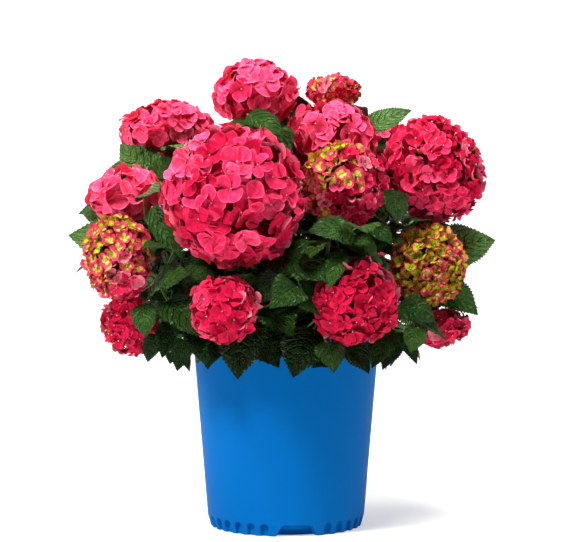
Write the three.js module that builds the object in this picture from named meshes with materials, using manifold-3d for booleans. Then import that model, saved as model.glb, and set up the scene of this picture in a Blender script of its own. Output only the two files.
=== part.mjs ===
// A bigleaf hydrangea in a blue nursery pot, in millimetres, +Z up.
// The origin is on the ground under the middle of the pot. The plant's front faces -Y, and +X is its right.
//
// The pot stands on its foot ring and is filled with potting mix. A short crown stands on the mix, ten woody
// canes leave the crown, and each cane carries two or three flower shoots: a green stem with pairs of leaves
// and one round flower head. Leafy shoots with no flower leave the crown low down and lean out over the rim.

import * as THREE from "three";
import { mergeVertices } from "three/addons/utils/BufferGeometryUtils.js";
import { ConvexHull } from "three/addons/math/ConvexHull.js";
import Module from "manifold-3d";

const wasm = await Module();
wasm.setup();

// Driving dimensions

const clearance = 0.3; // between pieces that rest on each other
const jointRoom = 0.42; // round a cane where a stem leaves it, so that flat sides keep the clearance too

const pot = {
  height: 243,
  footRadius: 92.6,
  footInner: 80,
  shoulderHeight: 13.3,
  shoulderRadius: 96.3,
  taper: 0.083, // radius gained for each millimetre of height
  wall: 2.2,
  lipHeight: 14,
  lipOut: 3.4,
  lipSlope: 1, // radius that the lip's face gains upwards
  lipBevel: 2,
  underFloor: 7,
  floorTop: 16,
  sides: 36,
};

const drainNotch = {
  count: 3,
  bearing: -82,
  bottomWidth: 50,
  topWidth: 33,
  height: 13.5,
  backRadius: 84, // how far in the notch is cut
  channelDepth: 12, // from the notch on under the floor
  channelTaper: 6,
};
const footSlot = { perBay: 8, step: 10.4, width: 9, height: 14.5, depth: 4 };

const mix = { top: 226, edgeDrop: 5, flatRadius: 42, innerRadius: 80 };

const crown = { height: 34, footRadius: 25, neckRadius: 15, sides: 10 };

const cane = {
  baseRadius: 4.6,
  tipRadius: 3.7,
  share: 0.34, // of the way to its heads
  bendAt: 0.42,
  rise: 0.16, // how far it bows upwards, as a share of its length
  ring: 15.5, // the feet stand on this radius
  startHeight: 20,
  sides: 5,
  steps: 3,
};

const stem = {
  baseRadius: 2.9,
  tipRadius: 2.3,
  intoHead: 0.45, // how deep it runs into its head, as a share of the head's half height
  sag: 0.04,
  sides: 4,
  steps: 3,
  nodes: 24, // places along it where a leaf set by hand may grow
  bareFoot: 3, // of these places, how many at its foot stay bare
  bareTop: 6,
};

const beadStep = 5; // along a limb, between the places where a leaf's distance to it is taken

const leaf = {
  widthShare: 0.7, // of the blade's length
  thickness: 1.3,
  petiole: 18,
  petioleRadius: 1.4,
  petioleReach: 95, // how far off a leaf set by hand may find its stem
  petioleRise: 30, // degrees above the horizontal, to which half of the blade's own pitch is added
  arch: 44, // degrees that the midrib bends through
  fold: 15, // degrees that each half is raised
  headRoom: 1.5,
  limbRoom: 1.2,
  leafRoom: 1.6,
  stalkRoom: 0.5,
  lowest: 190, // how low the tip of a leaf may hang
};

// Pairs of leaves down a flower shoot: the first pair's place below the head, the step to the next pair, the
// leaves' length, and what each pair adds to the length and takes off the pitch
const pairs = { first: 13, apart: 23, most: 5, length: 94, longer: 6, pitch: 6, lower: 10, spread: 16, foot: 8 };

// The florets of a head: how many for each millimetre of its radius, how far their sepals reach as a share of
// the room that each has, and how much lower the middle and the tilted side lie
const floret = { perRadius: 0.5, reach: 0.44, dish: 4.5, tilt: 2 };

// Each flower shoot: the cane that carries it, the middle of its head, the head's half width and half
// height, the bearing of its first pair of leaves, and how far its flowers have turned from bud green, 0, to
// full colour, 1

const flowerShoots = [
  { name: "top_left", cane: "upper_left", at: [-38, -30, 528], size: [52, 40], turn: 300, tone: 1 },
  { name: "top_right", cane: "back_top", at: [60, 40, 536], size: [35, 21], turn: 200, tone: 0.5 },
  { name: "upper_left", cane: "upper_left", at: [-152, 45, 491], size: [58, 35], turn: 250, tone: 1 },
  { name: "left", cane: "left", at: [-193, -50, 407], size: [46, 34], turn: 200, tone: 1 },
  { name: "centre", cane: "front_left", at: [-59, -155, 399], size: [80, 80], turn: 330, tone: 1 },
  { name: "upper_right", cane: "upper_right", at: [54, -20, 474], size: [55, 43], turn: 20, tone: 1 },
  { name: "centre_right", cane: "front_right", at: [66, -108, 414], size: [49, 49], turn: 250, tone: 0.7 },
  { name: "right", cane: "upper_right", at: [175, -60, 435], size: [60, 63], turn: 310, tone: 1 },
  { name: "lower_left", cane: "left", at: [-194, -130, 328], size: [40, 50], turn: 215, tone: 0.45 },
  { name: "low_left", cane: "left", at: [-187, -50, 247], size: [36, 36], turn: 290, tone: 1 },
  { name: "low_front_left", cane: "front_left", at: [-69, -195, 273], size: [37, 37], turn: 190, tone: 0.95 },
  { name: "low_front_right", cane: "front_right", at: [79, -150, 279], size: [48, 48], turn: 210, tone: 0.95 },
  { name: "lower_right", cane: "right", at: [167, -90, 320], size: [45, 49], turn: 340, tone: 0.15 },
  { name: "low_right", cane: "right", at: [191, -25, 242], size: [33, 24], turn: 300, tone: 0.95 },
  { name: "back_upper_left", cane: "back_left", at: [-119, 118, 434], size: [53, 45], turn: 150, tone: 1 },
  { name: "back_top", cane: "back_top", at: [10, 118, 468], size: [56, 44], turn: 60, tone: 1 },
  { name: "back_upper_right", cane: "back_right", at: [132, 92, 448], size: [52, 46], turn: 30, tone: 0.6 },
  { name: "back_left", cane: "back_left", at: [-185, 92, 336], size: [44, 46], turn: 170, tone: 0.5 },
  { name: "back_centre", cane: "back", at: [-60, 172, 353], size: [60, 57], turn: 110, tone: 1 },
  { name: "back_right", cane: "back_right", at: [78, 174, 345], size: [56, 52], turn: 75, tone: 1 },
  { name: "back_far_right", cane: "back_right", at: [184, 92, 330], size: [44, 44], turn: 20, tone: 1 },
  { name: "low_back", cane: "back", at: [-8, 190, 262], size: [36, 34], turn: 100, tone: 0.3 },
];

const leafyShoots = { count: 10, firstBearing: 252, reach: 132, overRim: 16, arch: 14, length: 88, petiole: 14 };

// Leaves set by hand where the front of the plant shows them: the blade's base, its tip, its width, and how
// far it is rolled about its midrib. Each one grows from the nearest stem.

const frontLeaves = [
  [-154, 12, 414, -205, 12, 468, 59, -25],
  [-160, -20, 424, -140, -10, 452, 27, 0],
  [-203, 18, 388, -254, -12, 381, 34, 0],
  [-164, -64, 342, -258, -74, 355, 62, -25],
  [-157, -92, 388, -117, -122, 325, 30, 30],
  [-155, -115, 297, -108, -165, 310, 48, 0],
  [-136, -130, 280, -90, -170, 238, 50, 0],
  [-165, -132, 276, -159, -152, 238, 30, 0],
  [-137, -108, 254, -143, -128, 213, 28, 0],
  [-116, -108, 227, -111, -128, 197, 16, 40],
  [-84, -105, 319, -134, -122, 315, 26, 0],
  [-118, -150, 308, -79, -140, 311, 25, 0],
  [-100, -118, 244, -93, -134, 206, 34, 0],
  [-72, -118, 244, -85, -152, 208, 30, 0],
  [-52, -104, 249, -8, -143, 203, 62, 0],
  [-37, -130, 252, -20, -166, 209, 32, 0],
  [14, -122, 246, -18, -146, 209, 34, 0],
  [32, -126, 247, 8, -161, 193, 58, 0],
  [52, -100, 249, 69, -145, 217, 43, -25],
  [65, -108, 236, 95, -142, 196, 39, 0],
  [122, -105, 246, 98, -148, 203, 34, 0],
  [132, -80, 246, 112, -112, 198, 34, 0],
  [127, -125, 271, 171, -142, 256, 46, 0],
  [136, -95, 242, 152, -115, 205, 21, 0],
  [182, -36, 332, 255, -20, 349, 65, 0],
  [173, -40, 294, 230, -55, 259, 48, 0],
  [124, -110, 408, 127, -132, 368, 35, -25],
  [113, -92, 388, 105, -98, 453, 18, 90],
  [145, -130, 371, 180, -57, 361, 18, -25],
  [70, -62, 345, 136, -125, 347, 54, 0],
  [78, -146, 356, 24, -178, 359, 43, 0],
  [64, -150, 338, 47, -196, 293, 25, 0],
  [-19, -105, 335, 54, -187, 301, 62, 0],
  [-7, -130, 292, 40, -180, 263, 23, 0],
  [35, -122, 264, -20, -150, 257, 21, 0],
  [-45, -82, 497, -2, -97, 470, 31, 0],
  [-69, -74, 486, -4, -90, 462, 24, 0],
  [7, 30, 493, 39, 34, 515, 27, 0],
  [97, 24, 484, 157, 27, 511, 35, 0],
  [106, 18, 466, 133, 25, 465, 20, 0],
];

// Seeded numbers between 0 and 1, the same on every run

function dice(seed) {
  let state = (seed * 7919 + 17) % 2147483647;
  return () => {
    state = (state * 48271) % 2147483647;
    return state / 2147483647;
  };
}

// Solids and meshes

function solidOf(geometry) {
  const bare = new THREE.BufferGeometry().setAttribute("position", geometry.getAttribute("position"));
  if (geometry.index) bare.setIndex(geometry.index);
  const merged = mergeVertices(bare, 1e-4);
  return new wasm.Manifold(
    new wasm.Mesh({
      numProp: 3,
      vertProperties: new Float32Array(merged.attributes.position.array),
      triVerts: new Uint32Array(merged.index.array),
    }),
  );
}

function geometryOf(solid) {
  const mesh = solid.getMesh();
  const geometry = new THREE.BufferGeometry();
  geometry.setAttribute("position", new THREE.BufferAttribute(new Float32Array(mesh.vertProperties), 3));
  geometry.setIndex(new THREE.BufferAttribute(new Uint32Array(mesh.triVerts), 1));
  return geometry;
}

function indexed(points, faces) {
  const geometry = new THREE.BufferGeometry().setFromPoints(points);
  geometry.setIndex(faces.flat());
  return geometry;
}

function finish(hue, roughness) {
  return new THREE.MeshStandardMaterial({ color: hue, roughness, metalness: 0, flatShading: true });
}

const bluePlastic = finish(0x0a6fc0, 0.42);
const darkMix = finish(0x2a1c12, 0.95);
const bark = finish(0x7a5f3c, 0.85);
const crimson = finish(0xd8204c, 0.6);
const budGreen = finish(0xa8b83a, 0.6);
const leafGreen = finish(0x2f5a22, 0.55);
const budTone = 0.3; // heads that have turned less than this are bud green

// Directions

const radians = THREE.MathUtils.degToRad;
const up = new THREE.Vector3(0, 0, 1);
const front = new THREE.Vector3(0, -1, 0);
const facesFront = front.clone().multiplyScalar(0.8).addScaledVector(up, 0.6);
const outShare = 0.6; // how far a leaf's face turns outwards from straight up

function heading(bearing) {
  return new THREE.Vector3(Math.cos(radians(bearing)), Math.sin(radians(bearing)), 0);
}

// The pot: a turned shell whose foot ring has drain notches and a row of short arched slots between them

function turned(profile, sides) {
  const points = profile.map(([r, z]) => new THREE.Vector2(r, z));
  return solidOf(new THREE.LatheGeometry(points, sides).rotateX(Math.PI / 2));
}

function wallRadius(z) {
  return pot.shoulderRadius + (z - pot.shoulderHeight) * pot.taper;
}

// A block with a shape drawn upright across the wall, running from one radius out to another at a bearing
function acrossWall(shape, bearing, from, to) {
  const block = new THREE.ExtrudeGeometry(shape, { depth: to - from, bevelEnabled: false, curveSegments: 2 });
  block.rotateX(Math.PI / 2).rotateZ(Math.PI / 2).translate(from, 0, 0).rotateZ(radians(bearing));
  return solidOf(block);
}

function archShape({ width, height }) {
  const r = width / 2;
  const shape = new THREE.Shape();
  shape.moveTo(-r, -1);
  shape.lineTo(r, -1);
  shape.absarc(0, height - r, r, 0, Math.PI);
  shape.closePath();
  return shape;
}

function notchShape(bottomWidth, topWidth, height) {
  const shape = new THREE.Shape();
  shape.moveTo(-bottomWidth / 2, -1);
  shape.lineTo(bottomWidth / 2, -1);
  shape.lineTo(topWidth / 2, height);
  shape.lineTo(-topWidth / 2, height);
  shape.closePath();
  return shape;
}

function potSolid() {
  const lipBottom = pot.height - pot.lipHeight;
  const lipRadius = wallRadius(lipBottom) + pot.lipOut;
  const profile = [
    [0, pot.underFloor],
    [pot.footInner - pot.lipBevel, pot.underFloor],
    [pot.footInner, 0],
    [pot.footRadius, 0],
    [pot.shoulderRadius, pot.shoulderHeight],
    [wallRadius(lipBottom), lipBottom],
    [lipRadius, lipBottom + pot.lipBevel],
    [lipRadius + pot.lipSlope, pot.height - pot.lipBevel],
    [lipRadius + pot.lipSlope - pot.lipBevel, pot.height],
    [wallRadius(pot.height) - pot.wall, pot.height],
    [wallRadius(pot.floorTop) - pot.wall, pot.floorTop],
    [0, pot.floorTop],
  ];
  const cutters = [];
  const outside = pot.shoulderRadius + 6;
  const slotBack = pot.footRadius + 1.5 - footSlot.depth;
  const bay = 360 / drainNotch.count;
  const { bottomWidth, topWidth, backRadius, channelDepth, channelTaper } = drainNotch;
  for (let i = 0; i < drainNotch.count; i++) {
    const bearing = drainNotch.bearing + i * bay;
    const opening = notchShape(bottomWidth, topWidth, drainNotch.height);
    const channel = notchShape(bottomWidth, bottomWidth - channelTaper, pot.underFloor - 0.5);
    cutters.push(acrossWall(opening, bearing, backRadius, outside));
    cutters.push(acrossWall(channel, bearing, pot.footInner - channelDepth, outside));
    for (let k = 0; k < footSlot.perBay; k++) {
      const turn = bearing + bay / 2 + (k - (footSlot.perBay - 1) / 2) * footSlot.step;
      cutters.push(acrossWall(archShape(footSlot), turn, slotBack, outside));
    }
  }
  return turned(profile, pot.sides).subtract(wasm.Manifold.union(cutters));
}

// The potting mix fills the pot to a little below the rim, flat in the middle where the crown stands
function mixSolid() {
  const inner = (z) => wallRadius(z) - pot.wall - clearance - 0.1;
  const bottom = pot.floorTop + clearance;
  const edge = mix.top - mix.edgeDrop;
  return turned(
    [
      [0, bottom],
      [inner(bottom), bottom],
      [inner(edge), edge],
      [mix.innerRadius, mix.top - 2],
      [mix.flatRadius, mix.top],
      [0, mix.top],
    ],
    pot.sides,
  );
}

// The crown: a stump that flares to a flat cut on the mix, or the same outline grown by a margin
function crownSolid(grown = 0) {
  const { height, footRadius, neckRadius, sides } = crown;
  const middle = (footRadius + neckRadius) / 2;
  return turned(
    [
      [0, mix.top + clearance - grown],
      [footRadius + grown, mix.top + clearance - grown],
      [middle + grown, mix.top + height * 0.25],
      [neckRadius + grown, mix.top + height * 0.55],
      [neckRadius - 2 + grown, mix.top + height * 0.9 + grown],
      [0, mix.top + height + grown],
    ],
    sides,
  );
}

// A tapering limb: a cylinder whose rings are carried along a curve. A grown limb is wider all round by a
// margin and as much longer at both ends.
function limbSolid(curve, shape, grown = 0) {
  const { baseRadius, tipRadius, sides, steps } = shape;
  const tube = new THREE.CylinderGeometry(tipRadius + grown, baseRadius + grown, 1, sides, steps);
  const frames = curve.computeFrenetFrames(steps, false);
  const place = tube.getAttribute("position");
  const v = new THREE.Vector3();
  for (let i = 0; i < place.count; i++) {
    v.fromBufferAttribute(place, i);
    const ring = Math.round((v.y + 0.5) * steps);
    const past = ring === 0 ? -grown : ring === steps ? grown : 0;
    const centre = curve.getPointAt(ring / steps).addScaledVector(frames.tangents[ring], past);
    centre.addScaledVector(frames.normals[ring], v.x).addScaledVector(frames.binormals[ring], -v.z);
    place.setXYZ(i, centre.x, centre.y, centre.z);
  }
  return solidOf(tube);
}

function sweep(from, via, to) {
  return new THREE.QuadraticBezierCurve3(from, via, to);
}

// Points along a limb a few millimetres apart, each with the limb's radius there
function beads(curve, { baseRadius, tipRadius }, owner) {
  const count = Math.ceil(curve.getLength() / beadStep);
  return Array.from({ length: count + 1 }, (_, i) => ({
    at: curve.getPointAt(i / count),
    radius: THREE.MathUtils.lerp(baseRadius, tipRadius, i / count),
    owner,
  }));
}

// The canes: their feet are spread evenly round the crown, and each runs towards the heads that it carries

const shoots = flowerShoots.map(({ at, size: [wide, high], ...row }, i) => {
  return { ...row, centre: new THREE.Vector3(...at), wide, high, seed: i + 1 };
});
const crownTop = up.clone().multiplyScalar(mix.top + cane.startHeight);

const canes = [...new Set(shoots.map((s) => s.cane))].map((name) => {
  const carried = shoots.filter((s) => s.cane === name);
  const middle = new THREE.Vector3();
  carried.forEach((s) => middle.addScaledVector(s.centre, 1 / carried.length));
  const tip = crownTop.clone().lerp(middle, cane.share);
  return { name, carried, tip, bearing: THREE.MathUtils.radToDeg(Math.atan2(tip.y, tip.x)) };
});

canes.sort((a, b) => a.bearing - b.bearing);
canes.forEach((c, i) => {
  const even = canes[0].bearing + (i * 360) / canes.length;
  const foot = heading(even).multiplyScalar(cane.ring).add(crownTop);
  const bend = foot.clone().lerp(c.tip, cane.bendAt).addScaledVector(up, foot.distanceTo(c.tip) * cane.rise);
  c.curve = sweep(foot, bend, c.tip);
});

// A flower shoot's stem goes on from its cane's tip, or leaves the side of the cane, and ends in its head
const leavesCaneAt = [1, 0.6, 0.38]; // share of the cane's length, for its first, second and third shoot

function stemCurve(shoot) {
  const c = canes.find((one) => one.name === shoot.cane);
  const order = c.carried.indexOf(shoot);
  const along = c.curve.getTangentAt(1);
  const from = c.curve.getPointAt(leavesCaneAt[order]);
  if (order === 0) from.addScaledVector(along, jointRoom);
  const towards = shoot.centre.clone().sub(from);
  const end = shoot.centre.clone().addScaledVector(towards.clone().normalize(), -shoot.high * stem.intoHead);
  const bend = from.clone().lerp(end, 0.5).addScaledVector(up, -stem.sag * towards.length());
  if (order === 0) bend.lerp(from.clone().addScaledVector(along, towards.length() * 0.4), 0.5);
  return sweep(from, bend, end);
}

// Leaves. A blade is told by its base, its tip, its width, the side its face turns to, its arch and its roll.

// The blade's own directions: along it, across it, and out of its face
function bladeFrame(l) {
  const along = l.tip.clone().sub(l.base).normalize();
  const face = l.faces.clone().addScaledVector(along, -l.faces.dot(along)).normalize();
  face.applyAxisAngle(along, radians(l.roll));
  return { along, face, across: face.clone().cross(along) };
}

// A point of the blade: its midrib is an arc from base to tip, and its halves are folded up from it
function bladePoint(l, frame, station, across) {
  const bend = radians(l.arch);
  const arc = (l.tip.distanceTo(l.base) * 0.5) / Math.sin(bend / 2);
  const turn = bend / 2 - bend * station;
  const ahead = arc * (Math.sin(bend / 2) - Math.sin(turn));
  const rise = arc * (Math.cos(turn) - Math.cos(bend / 2));
  const fold = radians(leaf.fold);
  const point = l.base.clone().addScaledVector(frame.along, ahead).addScaledVector(frame.face, rise);
  point.addScaledVector(frame.across, across * Math.cos(fold));
  return point.addScaledVector(frame.face, Math.abs(across) * Math.sin(fold));
}

// Where the margin's corners are, and how much of the half width they reach
const bladeStations = [
  [0.2, 0.96],
  [0.62, 0.9],
];

// The blade's faces between its corners, which are the base, the tip, and then the middle, left and right of
// each station
const bladeFaces = [
  [0, 2, 3],
  [2, 5, 6],
  [2, 6, 3],
  [5, 1, 6],
  [0, 4, 2],
  [2, 7, 5],
  [2, 4, 7],
  [5, 7, 1],
];

function bladeCorners(l, frame) {
  const corners = [l.base, l.tip];
  for (const [station, reach] of bladeStations)
    for (const side of [0, 1, -1]) corners.push(bladePoint(l, frame, station, (side * reach * l.width) / 2));
  return corners;
}

// A leaf as one closed solid: rings of four corners, left, upper, right and lower, run from inside the stem
// along the petiole to its end and over the blade to its tip. The blade's margin is one sharp edge.
function leafSolid(l) {
  const frame = bladeFrame(l);
  const stalk = l.base.clone().sub(l.node).normalize();
  const mitre = stalk.clone().add(frame.along).normalize();
  const across = frame.across.clone().addScaledVector(mitre, -frame.across.dot(mitre)).normalize();
  const twist = new THREE.Quaternion().setFromUnitVectors(mitre, stalk);
  const round = (centre, radius, turn) =>
    [across, mitre.clone().cross(across)].flatMap((side) => {
      const out = side.clone().applyQuaternion(turn).multiplyScalar(radius);
      return [centre.clone().add(out), centre.clone().sub(out)];
    });
  const points = [];
  const { petioleRadius, thickness } = leaf;
  for (const [left, right, upper, lower] of [
    round(l.node, petioleRadius, twist),
    round(l.base, petioleRadius * 0.8, new THREE.Quaternion()),
  ])
    points.push(left, upper, right, lower);
  for (const [station, reach] of bladeStations) {
    const side = (reach * l.width) / 2;
    const [left, middle, right] = [side, 0, -side].map((across) => bladePoint(l, frame, station, across));
    const half = frame.face.clone().multiplyScalar(thickness / 2);
    points.push(left, middle.clone().add(half), right, middle.clone().sub(half));
  }
  const tip = points.length;
  points.push(l.tip);
  const faces = [
    [0, 2, 1],
    [0, 3, 2],
  ];
  for (let ring = 0; ring < tip; ring += 4)
    for (let k = 0; k < 4; k++) {
      const [a, b] = [ring + k, ring + ((k + 1) % 4)];
      if (ring + 4 === tip) faces.push([a, b, tip]);
      else faces.push([a, b, b + 4], [a, b + 4, a + 4]);
    }
  return solidOf(indexed(points, faces));
}

// Whether a leaf keeps clear of the heads, the limbs, the pot and the leaves already placed

const limbs = [];
const placed = [];
const found = new THREE.Vector3();
const ray = new THREE.Ray();

function edgesOf({ a, b, c }) {
  return [new THREE.Line3(a, b), new THREE.Line3(b, c), new THREE.Line3(c, a)];
}

// The blade's faces and every edge of them
function bladeShape(l) {
  const frame = bladeFrame(l);
  const corners = bladeCorners(l, frame);
  const faces = bladeFaces.map((abc) => new THREE.Triangle(...abc.map((i) => corners[i])));
  return { corners, faces, edges: faces.flatMap(edgesOf), sphere: ballRound(corners), lift: frame.face };
}

// A petiole is one edge with no faces
function stalkShape(l) {
  const corners = [l.node, l.base];
  const lift = l.base.clone().sub(l.node).cross(up).normalize();
  return { corners, faces: [], edges: [new THREE.Line3(...corners)], sphere: ballRound(corners), lift };
}

function ballRound(corners) {
  return new THREE.Sphere().setFromPoints(corners);
}

function pierces(edges, faces, shift) {
  return edges.some((edge) => {
    ray.origin.copy(edge.start).add(shift);
    ray.direction.copy(edge.end).sub(edge.start);
    const reach = ray.direction.length();
    ray.direction.divideScalar(reach);
    return faces.some((t) => {
      const hit = ray.intersectTriangle(t.a, t.b, t.c, false, found);
      return hit !== null && hit.distanceTo(ray.origin) < reach;
    });
  });
}

// Whether a petiole of one shoot comes close to an edge of a leaf on another shoot
function brushes(stalk, other) {
  if (stalk.faces.length || stalk.owner === other.owner) return false;
  const otherHalf = other.faces.length ? leaf.thickness / 2 : leaf.petioleRadius;
  const room = leaf.petioleRadius + leaf.stalkRoom + otherHalf;
  return other.edges.some((edge) => stalk.edges[0].distanceSqToLine3(edge) < room * room);
}

// Two leaves meet where an edge of either runs through a face of the other, or would if one were lifted a
// little off its face to either side
function meetsLeaf(shape, other) {
  const room = 2 * leaf.petioleRadius + leaf.leafRoom;
  const apart = shape.sphere.center.distanceTo(other.sphere.center);
  if (apart > shape.sphere.radius + other.sphere.radius + room) return false;
  if (brushes(shape, other) || brushes(other, shape)) return true;
  return [0, leaf.leafRoom, -leaf.leafRoom].some((lift) => {
    const shift = shape.lift.clone().multiplyScalar(lift);
    return pierces(shape.edges, other.faces, shift) || pierces(other.edges, shape.faces, shift.negate());
  });
}

// The head is a ball in a space squeezed to its own shape
function meetsHead(shape, { centre, wide, high }) {
  const grow = leaf.headRoom;
  const apart = shape.sphere.center.distanceTo(centre);
  if (apart > shape.sphere.radius + Math.max(wide, high) + grow) return false;
  const size = new THREE.Vector3(wide + grow, wide + grow, high + grow);
  const [small, line, middle] = [new THREE.Triangle(), new THREE.Line3(), new THREE.Vector3()];
  const squeeze = (p) => p.clone().sub(centre).divide(size);
  const byFace = shape.faces.some((t) => {
    small.set(squeeze(t.a), squeeze(t.b), squeeze(t.c));
    return small.closestPointToPoint(middle, found).length() < 1;
  });
  const byEdge = ({ start, end }) =>
    line.set(squeeze(start), squeeze(end)).closestPointToPoint(middle, true, found).length() < 1;
  return byFace || shape.edges.some(byEdge);
}

function meetsLimb(shape, bead) {
  const room = bead.radius + leaf.limbRoom + (shape.faces.length ? 0 : leaf.petioleRadius);
  if (shape.sphere.center.distanceTo(bead.at) > shape.sphere.radius + room) return false;
  const near = (one, ...rest) => one.closestPointToPoint(bead.at, ...rest).distanceTo(bead.at) < room;
  return shape.faces.some((t) => near(t, found)) || shape.edges.some((e) => near(e, true, found));
}

function meetsPot(shape) {
  const rim = wallRadius(pot.height) + pot.lipOut + 4;
  const inside = wallRadius(mix.top) - 8;
  const middles = shape.faces.map((t) => t.getMidpoint(new THREE.Vector3()));
  return [...shape.corners, ...middles].some((p) => {
    const r = Math.hypot(p.x, p.y);
    return r < rim && p.z < pot.height + 3 && (r > inside || p.z < mix.top + 5);
  });
}

// Whether a blade or a petiole is clear of everything but the limb that it grows from
function isClear(shape, ownLimb) {
  if (meetsPot(shape)) return false;
  if (shoots.some((shoot) => meetsHead(shape, shoot))) return false;
  if (limbs.some((bead) => bead.owner !== ownLimb && meetsLimb(shape, bead))) return false;
  return !placed.some((other) => meetsLeaf(shape, other));
}

// Adds the leaf to its shoot where blade and petiole are both clear, and tells whether it did
function place(l, grower) {
  const [blade, stalk] = [bladeShape(l), stalkShape(l)];
  blade.owner = stalk.owner = grower.name;
  if (!isClear(blade) || !isClear(stalk, grower.name)) return false;
  placed.push(blade, stalk);
  grower.leaves.push(l);
  return true;
}

// Ways to turn a leaf aside: degrees of bearing, degrees of pitch, and a share of its length
const asides = [
  [0, 0, 1],
  [14, 0, 1],
  [-14, 0, 1],
  [0, -16, 1],
  [0, 16, 1],
  [26, -10, 0.92],
  [-26, -10, 0.92],
  [0, -32, 0.88],
  [40, 12, 0.82],
  [-40, 12, 0.82],
  [0, 34, 0.78],
  [-62, -6, 0.8],
  [62, -6, 0.8],
  [0, -50, 0.8],
  [24, 24, 0.66],
  [-24, 24, 0.66],
  [14, -20, 0.6],
  [-14, -20, 0.6],
];

// Grows one leaf from a point of a stem, turned aside where it must be, or skips it
function growLeaf({ node, bearing, pitch, length, roll, petiole }, grower) {
  for (const [turn, lift, share] of asides) {
    const out = heading(bearing + turn);
    const slope = radians(pitch + lift);
    const rise = radians(leaf.petioleRise) + slope / 2;
    const base = node.clone().addScaledVector(out, petiole * Math.cos(rise));
    base.addScaledVector(up, petiole * Math.sin(rise));
    const reach = length * share;
    const tip = base.clone().addScaledVector(out, reach * Math.cos(slope));
    tip.addScaledVector(up, reach * Math.sin(slope));
    if (tip.z < leaf.lowest) continue;
    const faces = tip.clone().setZ(0).normalize().multiplyScalar(outShare).add(up);
    const l = { node, base, tip, width: reach * leaf.widthShare, faces, arch: leaf.arch, roll };
    if (place(l, grower)) return;
  }
}

// A leaf set by hand grows from the nearest point of a stem that its petiole can reach clear of everything
function placeFrontLeaf([baseX, baseY, baseZ, tipX, tipY, tipZ, width, roll], growers) {
  const base = new THREE.Vector3(baseX, baseY, baseZ);
  const tip = new THREE.Vector3(tipX, tipY, tipZ);
  const l = { base, tip, width, faces: facesFront, arch: leaf.arch, roll };
  if (!isClear(bladeShape(l))) return;
  const reachable = growers
    .flatMap((grower) => grower.nodes.map((node) => ({ node, grower, far: node.distanceTo(base) })))
    .filter(({ far }) => far < leaf.petioleReach)
    .sort((a, b) => a.far - b.far);
  reachable.some(({ node, grower }) => place({ ...l, node }, grower));
}

// A flower head: points for the middle and the four sepal tips of each floret are spread over an ellipsoid,
// joined by the hull of their directions, then each is set in or out to its own depth

function spreadOver(count) {
  const golden = Math.PI * (3 - Math.sqrt(5));
  return Array.from({ length: count }, (_, i) => {
    const z = 1 - (2 * (i + 0.5)) / count;
    const r = Math.sqrt(1 - z * z);
    return new THREE.Vector3(r * Math.cos(golden * i), r * Math.sin(golden * i), z);
  });
}

function headSolid({ centre, wide, high, seed }) {
  const random = dice(seed * 31);
  const mean = (2 * wide + high) / 3;
  const count = Math.round(mean * floret.perRadius);
  const reach = floret.reach * Math.sqrt((4 * Math.PI) / count);
  const points = [];
  for (const middle of spreadOver(count)) {
    points.push({ out: middle, depth: -floret.dish });
    const side = new THREE.Vector3(0.31, 0.52, 0.8).cross(middle).normalize();
    const other = middle.clone().cross(side);
    const spin = random() * Math.PI;
    const lean = random() * Math.PI * 2;
    for (let k = 0; k < 4; k++) {
      const angle = spin + (k * Math.PI) / 2;
      const out = middle.clone().addScaledVector(side, reach * Math.cos(angle));
      out.addScaledVector(other, reach * Math.sin(angle)).normalize();
      points.push({ out, depth: floret.tilt * (Math.cos(angle - lean) - 1) });
    }
  }
  const hull = new ConvexHull().setFromPoints(points.map((p) => p.out));
  const number = new Map(points.map((p, i) => [p.out, i]));
  const faces = hull.faces.map(({ edge }) =>
    [edge, edge.next, edge.next.next].map((side) => number.get(side.head().point)),
  );
  const size = new THREE.Vector3(wide, wide, high);
  const corners = points.map(({ out, depth }) =>
    out.clone().multiply(size).multiplyScalar(1 + depth / mean).add(centre),
  );
  return solidOf(indexed(corners, faces));
}

// Growing the plant

const crownGrown = crownSolid(clearance);

for (const c of canes) {
  c.solid = limbSolid(c.curve, cane).subtract(crownGrown);
  c.grown = limbSolid(c.curve, cane, jointRoom);
  limbs.push(...beads(c.curve, cane, c.name));
}

for (const shoot of shoots) {
  shoot.curve = stemCurve(shoot);
  const c = canes.find((one) => one.name === shoot.cane);
  shoot.solids = [limbSolid(shoot.curve, stem).subtract(c.grown), headSolid(shoot)];
  shoot.free = shoot.curve.getLength() - shoot.high * (1 - stem.intoHead);
}

const skirts = Array.from({ length: leafyShoots.count }, (_, i) => {
  const bearing = leafyShoots.firstBearing + (i * 360) / leafyShoots.count;
  const out = heading(bearing);
  const rim = pot.height + leafyShoots.overRim;
  const from = out.clone().multiplyScalar(crown.neckRadius - 2).setZ(mix.top + 10);
  const bend = out.clone().multiplyScalar(leafyShoots.reach * 0.5).setZ(rim + leafyShoots.arch);
  const curve = sweep(from, bend, out.clone().multiplyScalar(leafyShoots.reach).setZ(rim));
  const solids = [limbSolid(curve, stem).subtract(crownGrown)];
  return { name: "leafy_shoot_" + (i + 1), bearing, curve, solids, free: curve.getLength(), seed: 100 + i };
});

const growers = [...shoots, ...skirts];
for (const g of growers) {
  g.leaves = [];
  const step = g.curve.getLength() / stem.nodes;
  const bearsLeaf = (_, i) => i > stem.bareFoot && i * step < g.free - stem.bareTop;
  g.nodes = g.curve.getSpacedPoints(stem.nodes).filter(bearsLeaf);
  limbs.push(...beads(g.curve, stem, g.name));
}

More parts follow.
